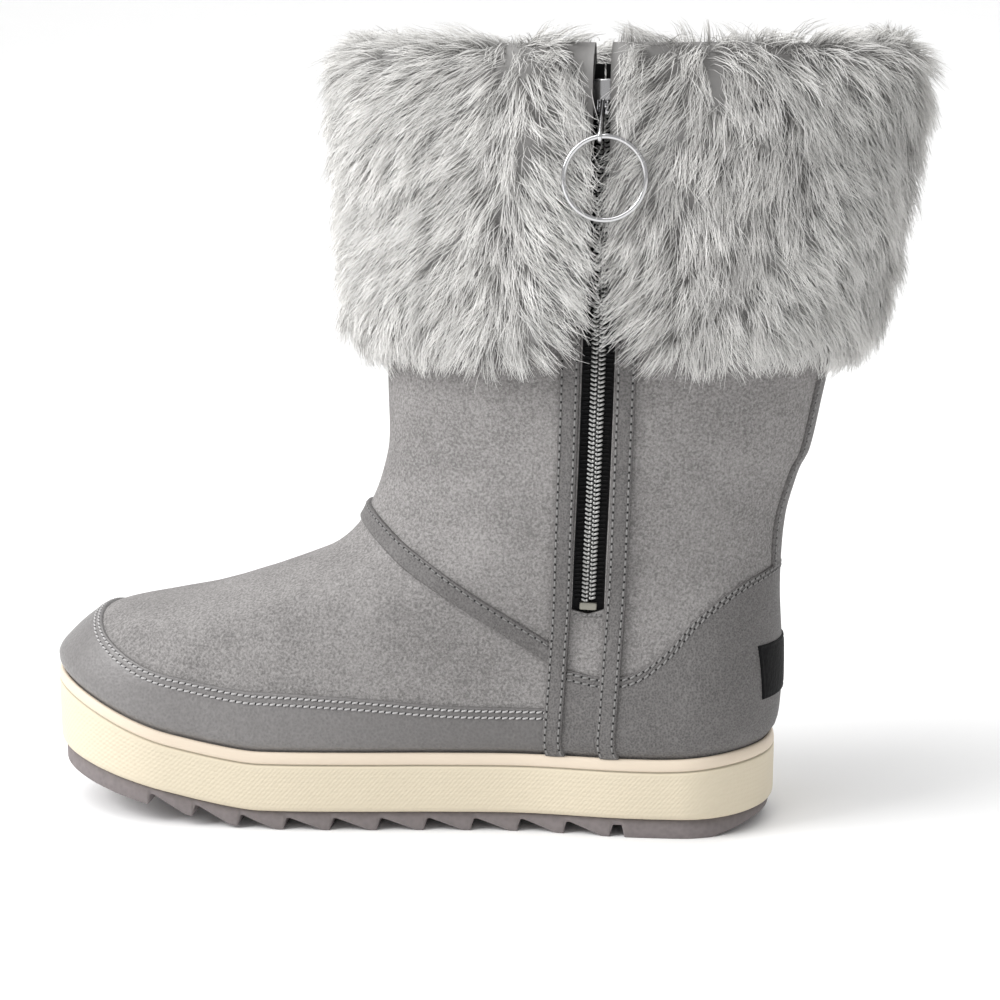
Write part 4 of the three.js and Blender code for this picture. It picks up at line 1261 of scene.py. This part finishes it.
def pile_at(share):
    """Offset, height and direction of the cuff's base at shares along its profile."""
    keys = np.linspace(0, 1, len(PILE_PROFILE["offset"]))
    offset = hermite(keys, PILE_PROFILE["offset"], share)
    height = hermite(keys, PILE_PROFILE["height"], share)
    low, high = np.clip(share - 0.004, 0, 1), np.clip(share + 0.004, 0, 1)
    steps = []
    for places in PILE_PROFILE.values():
        steps.append(hermite(keys, places, high) - hermite(keys, places, low))
    along = np.stack(steps, -1)
    along /= np.linalg.norm(along, axis=-1, keepdims=True)
    return offset, height, along


def pile_mesh():
    profile = np.linspace(0, 1, 60)
    offset, height, _ = pile_at(profile)
    offset = np.concatenate([offset, [point[0] for point in PILE_BACK]])
    height = np.concatenate([height, [point[1] for point in PILE_BACK]])
    rear, front = slit_turns(height, offset, 1.5)
    turn = mix(rear[:, None], front[:, None] + 2 * math.pi, np.linspace(0, 1, 260)[None, :])
    points = cuff_point(turn, height[:, None], offset[:, None])
    swell = np.where(np.arange(len(height)) < len(profile), 1.0, 0.0)[:, None]
    away = points - cuff_point(turn, height[:, None], -30.0)
    away /= np.linalg.norm(away, axis=-1, keepdims=True)
    points = points + away * (lumps(points, 3, 22.0) * swell * 1.2)[..., None]
    points = np.concatenate([points, points[:1]])
    rows, columns = points.shape[:2]
    faces, ends = grid_faces(rows, columns), []
    for column in (0, columns - 1):
        hub = np.full(rows - 1, rows * columns + len(ends))
        ends.append(points[:-1, column].mean(axis=0))
        i = np.arange(rows - 1)
        fan = np.stack([i * columns + column, (i + 1) * columns + column, hub, hub], -1)
        faces = np.concatenate([faces, fan if column else fan[:, [1, 0, 2, 3]]])
    return np.concatenate([points.reshape(-1, 3), ends]), faces


def fur_flow(points):
    """Sideways lean of the fur: to the slit beside the zip, to the front before the front parting."""
    across = points[..., 0] - zip_x(np.minimum(points[..., 2], SHAFT_TOP))
    inner = smooth((-points[..., 1] - 5) / 25)
    to_slit = np.where(across < 0, smooth((across - PART_FRONT) / 8), smooth((PART_REAR - across) / 10))
    by_pull = smooth((points[..., 2] - 246) / 8) * smooth((14 - np.abs(across)) / 4)
    toward = -np.sign(across) * 0.95 * to_slit * smooth(np.abs(across) / 4) * (1 - 0.95 * by_pull)
    before, behind = smooth((PART_FRONT - across) / 12), smooth((across - PART_REAR) / 20)
    beyond = np.where(across < 0, -0.75 * before, 0.30 * behind)
    return (toward + beyond) * inner + 0.3 * lumps(points, 11, 60.0)


def lock_roots(count, rng):
    """Places of the locks, one in each cell of an even grid over the cuff: share and turn."""
    fine = np.linspace(0, 1, 300)
    offset, height, _ = pile_at(fine)
    gone = np.concatenate([[0], np.cumsum(np.hypot(np.diff(offset), np.diff(height)))])
    round_about = math.pi * (COLLAR_DEPTH + SHAFT_WIDTH) / 2 + 2 * math.pi * 12
    rows = round(math.sqrt(count * gone[-1] / round_about))
    columns = round(count / rows)
    row, column = np.meshgrid(np.arange(rows), np.arange(columns), indexing="ij")
    jitter = rng.uniform(0, 1, (2, rows, columns))
    share = np.interp(((row + jitter[0]) / rows * gone[-1]).ravel(), gone, fine)
    return share, ((column + jitter[1] + 0.5 * (row % 2)) / (columns + 0.5)).ravel()


def clear_of_pull(root):
    """False for the locks that would cover the slider and its link."""
    near = np.abs(root[:, 0] - SLIDE_X - 0.5) < 7.0
    return ~(near & (root[:, 1] < 0) & (root[:, 2] > SLIDE_HEIGHT - 17))


def held_short(root, way, long_hair):
    """Share of their length that locks keep so that their tips stop at the slit."""
    across = root[:, 0] - zip_x(np.minimum(root[:, 2], SHAFT_TOP))
    reach = -np.sign(across) * way[:, 0] * long_hair
    free = np.clip((np.abs(across) - 1.5) / np.maximum(reach, 0.01), 0.3, 1)
    return np.where((root[:, 1] < 0) & (np.abs(across) < 25) & (reach > 0.5), free, 1.0)


def lock_meshes(count, hairs, long_hair, hair_width, groups):
    """Locks of the cuff as groups of flat hairs, each with its tip and shade values."""
    rng = np.random.default_rng(7)
    share, round_share = lock_roots(count, rng)
    offset, height, along = pile_at(share)
    rear, front = slit_turns(height, offset, 1.2)
    turn = mix(rear, front + 2 * math.pi, round_share)
    root = cuff_point(turn, height, offset)
    kept = clear_of_pull(root)
    share, turn, root = share[kept], turn[kept], root[kept]
    offset, height, along = offset[kept], height[kept], along[kept]
    around = cuff_point(turn + 0.01, height, offset) - cuff_point(turn - 0.01, height, offset)
    around /= np.linalg.norm(around, axis=1, keepdims=True)
    flat = np.cross(around, [0, 0, 1.0])
    up = flat * along[:, :1] + np.array([0, 0, 1.0]) * along[:, 1:]
    normal = np.cross(around, up)
    sideways = around * np.sign(around[:, :1] + 1e-9)
    sideways = np.where((np.abs(root[:, 1]) > 25)[:, None], sideways, around)
    crown = np.clip((FUR_CROWN / 11 - share) * 6, -1, 1)[:, None]
    lean = fur_flow(root) + rng.normal(0, 0.2, len(root))
    way = -up * crown + sideways * lean[:, None]
    way /= np.maximum(np.linalg.norm(way, axis=1, keepdims=True), 0.6)
    length = long_hair * rng.uniform(0.82, 1.18, len(root)) * np.where(share > 0.75, 0.8, 1.0)
    length = length * held_short(root, way, long_hair)
    swell = 5.2 + 1.7 * lumps(root, 5, 11.0) + rng.normal(0, 0.6, len(root))
    # Tone of each lock: random, and widened to paint shade between the tufts
    tone_and_shade = np.clip(0.5 + 0.35 * lumps(root, 9, 9.0) + rng.normal(0, 0.18, len(root)), 0, 1)
    across_way = np.cross(normal, way)
    for part in range(groups):
        pick = slice(part, len(root), groups)
        size = len(root[pick])
        spread = rng.normal(0, 1, (size, hairs, 2)).clip(-2.2, 2.2)
        tuft = rng.normal(0, 0.8, (size, hairs, 2))
        long = length[pick][:, None] * rng.uniform(0.6, 1.15, (size, hairs))
        lift = swell[pick][:, None] * rng.uniform(0.7, 1.15, (size, hairs))
        curl = rng.normal(0, 1.5, (size, hairs))
        facing = normal[pick][:, None] + 0.5 * rng.normal(0, 1, (size, hairs, 3))
        blade = np.cross(way[pick][:, None] + 0.4 * normal[pick][:, None], facing)
        blade /= np.linalg.norm(blade, axis=-1, keepdims=True)
        rings = []
        for k in range(HAIR_RINGS):
            t = k / (HAIR_RINGS - 1)
            gather = mix(2.4, 1.25, t)
            shift = spread * gather + tuft * t
            place = root[pick][:, None] + around[pick][:, None] * shift[..., :1]
            place = place + up[pick][:, None] * shift[..., 1:]
            rise = lift * (1 - (1 - t) ** 1.8) - 1.5 * (1 - t)
            place = place + normal[pick][:, None] * rise[..., None]
            place = place + way[pick][:, None] * (long * t**1.25)[..., None]
            place = place + across_way[pick][:, None] * (curl * t * t)[..., None]
            width = hair_width * (1 - 0.8 * t)
            rings += [place - blade * width, place + blade * width]
        strand = np.stack(rings, 2).reshape(-1, HAIR_RINGS * 2, 3)
        base = np.array([(2 * k, 2 * k + 1, 2 * k + 3, 2 * k + 2) for k in range(HAIR_RINGS - 1)])
        faces = base[None] + (np.arange(len(strand)) * strand.shape[1])[:, None, None]
        tip = np.broadcast_to(np.repeat(np.linspace(0, 1, HAIR_RINGS), 2), strand.shape[:2])
        shade = np.repeat(tone_and_shade[pick], hairs) * 0.7 + rng.uniform(0, 0.3, size * hairs)
        yield strand, faces.reshape(-1, 4), {"tip": tip, "shade": np.repeat(shade, HAIR_RINGS * 2)}


# Camera, light and floor


def sweep_mesh():
    """A floor that curves up into a wall behind."""
    angle = np.linspace(0, math.pi / 2, 24)
    line = [(-4.0, 0.0), *zip(2.5 + 1.5 * np.sin(angle), 1.5 - 1.5 * np.cos(angle)), (4.0, 6.0)]
    points = [(x, y, z) for y, z in line for x in (-6.0, 6.0)]
    mesh = bpy.data.meshes.new("floor")
    mesh.from_pydata(points, [], [(2 * i, 2 * i + 1, 2 * i + 3, 2 * i + 2) for i in range(len(line) - 1)])
    mesh.polygons.foreach_set("use_smooth", [True] * len(mesh.polygons))
    return mesh


LIGHTS = (
    ("key", (-1.5, -0.75, 1.1), 0.9, 22),
    ("back", (0.6, 1.8, 2.2), 1.5, 18),
)
SUN_WAY = (0.45, 0.25, -0.86)


# Settings


def colour(name, description, default):
    return FloatVectorProperty(name=name, description=description, default=default, size=3, min=0, max=1,
                               subtype="COLOR")


def length(name, description, default):
    return FloatProperty(name=name, description=description, default=default, min=0, precision=5,
                         unit="LENGTH", subtype="DISTANCE")


class BootColours(bpy.types.PropertyGroup):
    suede: colour("Suede", "Brushed suede of the upper", (0.262, 0.252, 0.248))
    leather: colour("Leather", "Smooth leather of the counter, strips and piping", (0.142, 0.136, 0.134))
    # Rand: the same leather as lit at the toe, a painted highlight blended in towards the toe
    rand: colour("Rand", "Smooth leather round the toe", (0.2, 0.192, 0.19))
    cup: colour("Cup", "Cream wall of the cup sole", (0.70, 0.62, 0.475))
    rim: colour("Rim", "Paler rim of the cup sole", (0.74, 0.635, 0.51))
    tread: colour("Tread", "Grey rubber of the tread", (0.205, 0.182, 0.182))
    footbed: colour("Footbed", "Pile of the footbed", (0.5, 0.48, 0.45))
    badge: colour("Badge", "Patch on the heel", (0.006, 0.006, 0.0065))
    tape: colour("Tape", "Woven tape of the zip", (0.018, 0.018, 0.019))
    teeth: colour("Teeth", "Metal teeth of the zip", (0.50, 0.50, 0.49))
    stop: colour("Stop", "Metal stop at the foot of the zip", (0.30, 0.29, 0.25))
    metal: colour("Pull", "Polished metal of the slider, link and ring", (0.62, 0.62, 0.63))
    thread: colour("Thread", "Thread on the dark leather", (0.24, 0.235, 0.232))
    pale_thread: colour("Pale thread", "Thread round the toe", (0.46, 0.45, 0.45))
    hole_shade: colour("Needle holes", "Shadow where the thread goes down", (0.02, 0.02, 0.02))
    fur: colour("Fur", "Tips of the fur", (0.84, 0.83, 0.81))
    # Fur ground: painted dark as the shade deep in the pile, under the hair
    fur_base: colour("Fur base", "Ground under the fur", (0.26, 0.255, 0.25))


class BootStitching(bpy.types.PropertyGroup):
    rand_pitch: length("Rand pitch", "Length of a stitch round the toe", 0.0025)
    leather_pitch: length("Leather pitch", "Length of a stitch on the counter and strips", 0.0029)
    thread_radius: length("Thread radius", "Half the thickness of the thread", 0.00036)


class BootFur(bpy.types.PropertyGroup):
    locks: IntProperty(name="Locks", description="Number of locks on the cuff", default=3200, min=100)
    hairs: IntProperty(name="Hairs", description="Number of hairs in a lock", default=30, min=4)
    hair_length: length("Hair length", "Length of the fur's hairs", 0.0125)
    hair_width: length("Hair width", "Half the width of a hair at its root", 0.00019)


class BootSettings(bpy.types.PropertyGroup):
    colours: PointerProperty(type=BootColours, name="Colours", description="Colours of the boot's pieces")
    stitching: PointerProperty(type=BootStitching, name="Stitching", description="Sizes of the stitches")
    fur: PointerProperty(type=BootFur, name="Fur", description="Sizes of the fur")
    frame_shift: FloatProperty(
        name="Frame shift",
        description="How far the picture moves up over the boot, as a share of its width",
        default=0.085,
        subtype="FACTOR",
    )


# Operators


class BOOT_OT_upper(bpy.types.Operator):
    """Builds the suede upper"""
    bl_idname = "winter_boot.upper"
    bl_label = "Suede upper"

    def execute(self, context):
        build("upper_suede", *upper_mesh(), "suede", finish("suede"), ["upper"])
        return {"FINISHED"}


class BOOT_OT_rand(bpy.types.Operator):
    """Builds the leather rand round the toe and its two rows of stitches"""
    bl_idname = "winter_boot.rand"
    bl_label = "Toe rand"

    def execute(self, context):
        stitching = context.scene.winter_boot.stitching
        pitch, radius = stitching.rand_pitch / MM, stitching.thread_radius / MM
        panel = Panel(front_turns(HEEL_REACH - SIDE_SEAM - FIT), apron_z, 300, 420)
        points, faces = panel.mesh(14, RAND_ROWS)
        # Share of the painted highlight on the rand, rising towards the toe
        toe = {"toe": smooth((x_to_along(points[..., 0]) - 0.28) / 0.4)}
        leather = finish("rand_leather")
        build("rand_leather", points, faces, "smooth_leather", leather, ["toe_rand"], values=toe)
        rows = [StitchRow(*panel.line(d), LAYER - 0.15, pitch, radius, 0.14, 0.5) for d in RAND_ROWS]
        sew("rand", rows, "pale_thread")
        return {"FINISHED"}


class BOOT_OT_counter(bpy.types.Operator):
    """Builds the leather heel counter and its two rows of stitches"""
    bl_idname = "winter_boot.counter"
    bl_label = "Heel counter"

    def execute(self, context):
        stitching = context.scene.winter_boot.stitching
        pitch, radius = stitching.leather_pitch / MM, stitching.thread_radius / MM
        panel = Panel(heel_turns(HEEL_REACH - SIDE_SEAM + FIT), counter_z, 220, 190)
        points, faces = panel.mesh(30, COUNTER_ROWS)
        leather = finish("smooth_leather")
        build("counter_leather", points, faces, "smooth_leather", leather, ["heel_counter"])
        lift = LAYER - 0.15
        sew("counter", [StitchRow(*panel.line(d), lift, pitch, radius, 0.25, 0.4) for d in COUNTER_ROWS])
        return {"FINISHED"}


class BOOT_OT_piping(bpy.types.Operator):
    """Builds the piping over the instep"""
    bl_idname = "winter_boot.piping"
    bl_label = "Instep piping"

    def execute(self, context):
        pitch = context.scene.winter_boot.stitching.leather_pitch / MM
        across = across_steps(PIPING_WIDTH)
        lines = [piping_lines(place) for place in across]
        turn, climb = np.stack([line[0] for line in lines], 1), np.stack([line[1] for line in lines], 1)
        place = PIPING_WIDTH - PIPING_INSET
        points, faces = band_mesh(turn, climb, across, FIT + PIPING, (place,))
        build("piping_leather", points, faces, "smooth_leather", finish("smooth_leather"), ["instep_piping"])
        sew("piping", [StitchRow(*piping_lines(place), FIT + PIPING - 0.2, pitch, 0.28, 0.25)])
        return {"FINISHED"}


class BOOT_OT_strips(bpy.types.Operator):
    """Builds the two leather strips beside the zip"""
    bl_idname = "winter_boot.strips"
    bl_label = "Zip strips"

    def execute(self, context):
        stitching = context.scene.winter_boot.stitching
        pitch, radius = stitching.leather_pitch / MM, stitching.thread_radius / MM
        z = np.linspace(cup_top(along_to_x(0.25)) + 0.2, SHAFT_TOP - 1, 190)
        across = across_steps(STRIP_WIDTH)
        sewn = np.array([STRIP_INSET, STRIP_WIDTH - STRIP_INSET])
        top = LAYER + FIT + STRIP
        for side, name in ((-1, "front"), (1, "rear")):
            points, faces = band_mesh(*strip_lines(side, across, z), across, top, sewn)
            leather = finish("smooth_leather")
            build(f"strip_{name}", points, faces, "smooth_leather", leather, [f"zip_strip_{name}"])
            turn, climb = strip_lines(side, sewn, z)
            rows = [StitchRow(turn[:, k], climb[:, k], top - 0.18, pitch, radius, 0.3) for k in range(2)]
            sew(f"strip_{name}", rows)
        return {"FINISHED"}


class BOOT_OT_stay(bpy.types.Operator):
    """Builds the leather stay up the back"""
    bl_idname = "winter_boot.stay"
    bl_label = "Back stay"

    def execute(self, context):
        pitch = context.scene.winter_boot.stitching.leather_pitch / MM
        z = np.linspace(counter_z(np.array([HEEL_REACH + 2.0]))[0] - 3, SHAFT_TOP - 1, 90)
        across = across_steps(STAY_WIDTH)
        y, height = np.meshgrid(across - STAY_WIDTH / 2, z)
        sewn = (STRIP_INSET, STAY_WIDTH - STRIP_INSET)
        points, faces = band_mesh(*heel_place(y, height), across, LAYER, sewn)
        build("back_stay_leather", points, faces, "smooth_leather", finish("smooth_leather"), ["back_stay"])
        y, height = np.meshgrid(np.array(sewn) - STAY_WIDTH / 2, z)
        turn, climb = heel_place(y, height)
        sew("back_stay", [StitchRow(turn[:, k], climb[:, k], LAYER - 0.15, pitch) for k in range(2)])
        return {"FINISHED"}


class BOOT_OT_badge(bpy.types.Operator):
    """Builds the plain patch on the heel"""
    bl_idname = "winter_boot.badge"
    bl_label = "Heel patch"

    def execute(self, context):
        across, up = across_steps(BADGE_WIDTH), across_steps(BADGE_HEIGHT)
        y, z = np.meshgrid(across - BADGE_WIDTH / 2, up + BADGE_FOOT)
        turn, climb = heel_place(y, z)
        beside = np.minimum(across, BADGE_WIDTH - across)[None, :]
        edge = np.minimum(beside, np.minimum(up, BADGE_HEIGHT - up)[:, None])
        height = LAYER + (FIT + BADGE) * rounded_edge(edge) - stitch_trough(edge, (1.3,)) * 0.8
        points, faces = skin(turn, climb, height), grid_faces(*turn.shape)
        build("badge_patch", points, faces, "badge", finish("badge_patch"), ["heel_badge"])
        return {"FINISHED"}


class BOOT_OT_zip(bpy.types.Operator):
    """Builds the zip's tapes, teeth and bottom stop"""
    bl_idname = "winter_boot.zip"
    bl_label = "Zip"

    def execute(self, context):
        z = np.linspace(ZIP_FOOT - 1, SHAFT_TOP - 2, 180)
        across = np.array([0.3, 0.4, 1.0, 2.0, 3.0, 4.0, 5.0, 6.0, 8.0, 10.0, TAPE_WIDTH / 2])
        for side, name in ((-1, "front"), (1, "rear")):
            x = zip_x(z)[:, None] + side * across[None, :]
            turn, climb = side_place(x, np.broadcast_to(z[:, None], x.shape), -1)
            sides = [(skin(turn, climb, -WALL - FIT - deep), grid_faces(*turn.shape)) for deep in (0, TAPE)]
            build(f"tape_{name}", *join(*sides), "zip_tape", finish("zip_tape"), [f"zip_tape_{name}"])
        build("zip_teeth", *teeth_mesh(), "zip_teeth", finish("zip_teeth"), ["zip_chain"])
        build("zip_bindings", *ladder_mesh(), "zip_tape", finish("zip_tape"))
        middle = ZIP_FOOT + FIT + STOP_HEIGHT / 2
        turn, climb, normal, up, aside = zip_frame(np.array([middle]), 0.0)
        seat, axes = surface(turn, climb) - normal * 0.5, (aside, up, normal)
        block = placed_blocks(seat, axes, STOP_HALVES, 9, 16, STOP_POWER)
        build("zip_stop", *block, "zip_stop", finish("zip_stop"), ["zip_bottom_stop"])
        row = StitchRow(*level_seam(ZIP_FOOT - 1.6, 5.2), 0.0, 1.7, 0.42, 0.1, 0.5)
        build("zip_foot_stitches", *row.threads(), "smooth_leather", finish("thread"))
        return {"FINISHED"}


class BOOT_OT_pull(bpy.types.Operator):
    """Builds the slider, the link that swings on it and the ring"""
    bl_idname = "winter_boot.pull"
    bl_label = "Zip pull"

    def execute(self, context):
        metal = finish("pull_metal")
        build("slider_metal", *slider_mesh(), "pull_metal", metal, ["zip_slider"])
        build("link_metal", *link_mesh(), "pull_metal", metal, ["pull_link"], "link")
        build("ring_metal", *ring_mesh(), "pull_metal", metal, ["pull_ring"], "ring")
        return {"FINISHED"}


class BOOT_OT_cup(bpy.types.Operator):
    """Builds the cream cup sole and the footbed in it"""
    bl_idname = "winter_boot.cup"
    bl_label = "Cup sole and footbed"

    def execute(self, context):
        points, faces, values = cup_mesh()
        build("cup_sole", points, faces, "cup_foam", finish("cream_rubber"), ["midsole"], values=values)
        build("footbed_pile", *insole_mesh(), "footbed", finish("footbed"), ["insole"])
        return {"FINISHED"}


class BOOT_OT_tread(bpy.types.Operator):
    """Builds the saw-tooth tread"""
    bl_idname = "winter_boot.tread"
    bl_label = "Tread"

    def execute(self, context):
        build("tread_sole", *tread_mesh(), "tread_rubber", finish("tread_rubber"), ["outsole"])
        return {"FINISHED"}


class BOOT_OT_fur(bpy.types.Operator):
    """Builds the fur cuff: its ground and its locks of hair"""
    bl_idname = "winter_boot.fur"
    bl_label = "Fur cuff"

    def execute(self, context):
        fur = context.scene.winter_boot.fur
        # The fur's ground, painted dark as the shade under the hair
        build("fur_base", *pile_mesh(), "fur", finish("fur_base"), ["fur_cuff"])
        groups = math.ceil(fur.locks * fur.hairs * 2 * (HAIR_RINGS - 1) / FUR_GROUP_LIMIT)
        locks = lock_meshes(fur.locks, fur.hairs, fur.hair_length / MM, fur.hair_width / MM, groups)
        for part, (points, faces, values) in enumerate(locks):
            build(f"fur_locks_{part}", points, faces, "fur", finish("fur_hair"), values=values)
        return {"FINISHED"}


class BOOT_OT_stage(bpy.types.Operator):
    """Sets the floor, camera and studio lights"""
    bl_idname = "winter_boot.stage"
    bl_label = "Studio"

    def execute(self, context):
        scene = context.scene
        for name in ("Cube", "Light", "Camera"):
            if name in bpy.data.objects:
                bpy.data.objects.remove(bpy.data.objects[name])
        floor = bpy.data.objects.new("floor", sweep_mesh())
        floor.data.materials.append(plain_material("floor", (0.95, 0.95, 0.95), 0.95))
        camera = bpy.data.objects.new("camera", bpy.data.cameras.new("camera"))
        camera.location = (0.02848, -0.77669, 0.25131)
        aim = Vector((-0.06689, 0, 0.08499)) - camera.location
        camera.rotation_euler = aim.to_track_quat("-Z", "Y").to_euler()
        camera.data.lens = 75.74
        camera.data.sensor_width = 36
        camera.data.shift_y = scene.winter_boot.frame_shift
        for stage in (floor, camera):
            scene.collection.objects.link(stage)
            stage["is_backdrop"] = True
        scene.camera = camera
        world = bpy.data.worlds.new("studio")
        world.use_nodes = True
        world.node_tree.nodes["Background"].inputs["Color"].default_value = (1, 1, 1, 1)
        world.node_tree.nodes["Background"].inputs["Strength"].default_value = 0.52
        scene.world = world
        scene.view_settings.view_transform = "Standard"
        sun = bpy.data.objects.new("sky", bpy.data.lights.new("sky", "SUN"))
        scene.collection.objects.link(sun)
        sun.rotation_euler = Vector(SUN_WAY).to_track_quat("-Z", "Y").to_euler()
        sun.data.angle = math.radians(50)
        sun.data.energy = 1.5
        sun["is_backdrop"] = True
        for name, place, size, power in LIGHTS:
            light = bpy.data.objects.new(name, bpy.data.lights.new(name, "AREA"))
            scene.collection.objects.link(light)
            light.location = place
            way = Vector((-0.07, 0, 0.12)) - light.location
            light.rotation_euler = way.to_track_quat("-Z", "Y").to_euler()
            light.data.size = size
            light.data.energy = power
            light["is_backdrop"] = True
        return {"FINISHED"}


class BOOT_PT_sidebar(bpy.types.Panel):
    """Lists the boot's pieces and settings"""
    bl_idname = "BOOT_PT_sidebar"
    bl_label = "Winter boot"
    bl_space_type = "VIEW_3D"
    bl_region_type = "UI"
    bl_category = "Winter boot"

    def draw(self, context):
        settings = context.scene.winter_boot
        for group in (settings.colours, settings.stitching, settings.fur):
            box = self.layout.box()
            for name in group.__annotations__:
                box.prop(group, name)
        self.layout.prop(settings, "frame_shift")
        for operator in OPERATORS:
            self.layout.operator(operator.bl_idname)


OPERATORS = (
    BOOT_OT_upper,
    BOOT_OT_rand,
    BOOT_OT_counter,
    BOOT_OT_piping,
    BOOT_OT_strips,
    BOOT_OT_stay,
    BOOT_OT_badge,
    BOOT_OT_zip,
    BOOT_OT_pull,
    BOOT_OT_cup,
    BOOT_OT_tread,
    BOOT_OT_fur,
    BOOT_OT_stage,
)
CLASSES = (BootColours, BootStitching, BootFur, BootSettings, *OPERATORS, BOOT_PT_sidebar)


def register():
    for entry in CLASSES:
        bpy.utils.register_class(entry)
    bpy.types.Scene.winter_boot = PointerProperty(type=BootSettings)


def unregister():
    del bpy.types.Scene.winter_boot
    for entry in reversed(CLASSES):
        bpy.utils.unregister_class(entry)


def main():
    register()
    bpy.ops.winter_boot.upper()
    bpy.ops.winter_boot.rand()
    bpy.ops.winter_boot.counter()
    bpy.ops.winter_boot.piping()
    bpy.ops.winter_boot.strips()
    bpy.ops.winter_boot.stay()
    bpy.ops.winter_boot.badge()
    bpy.ops.winter_boot.zip()
    bpy.ops.winter_boot.pull()
    bpy.ops.winter_boot.cup()
    bpy.ops.winter_boot.tread()
    bpy.ops.winter_boot.fur()
    bpy.ops.winter_boot.stage()
    boxes = {"cad": CAD_BOX, "scene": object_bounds()}
    {name: [list(corner) for corner in box] for name, box in boxes.items()}


if __name__ == "__main__":
    main()
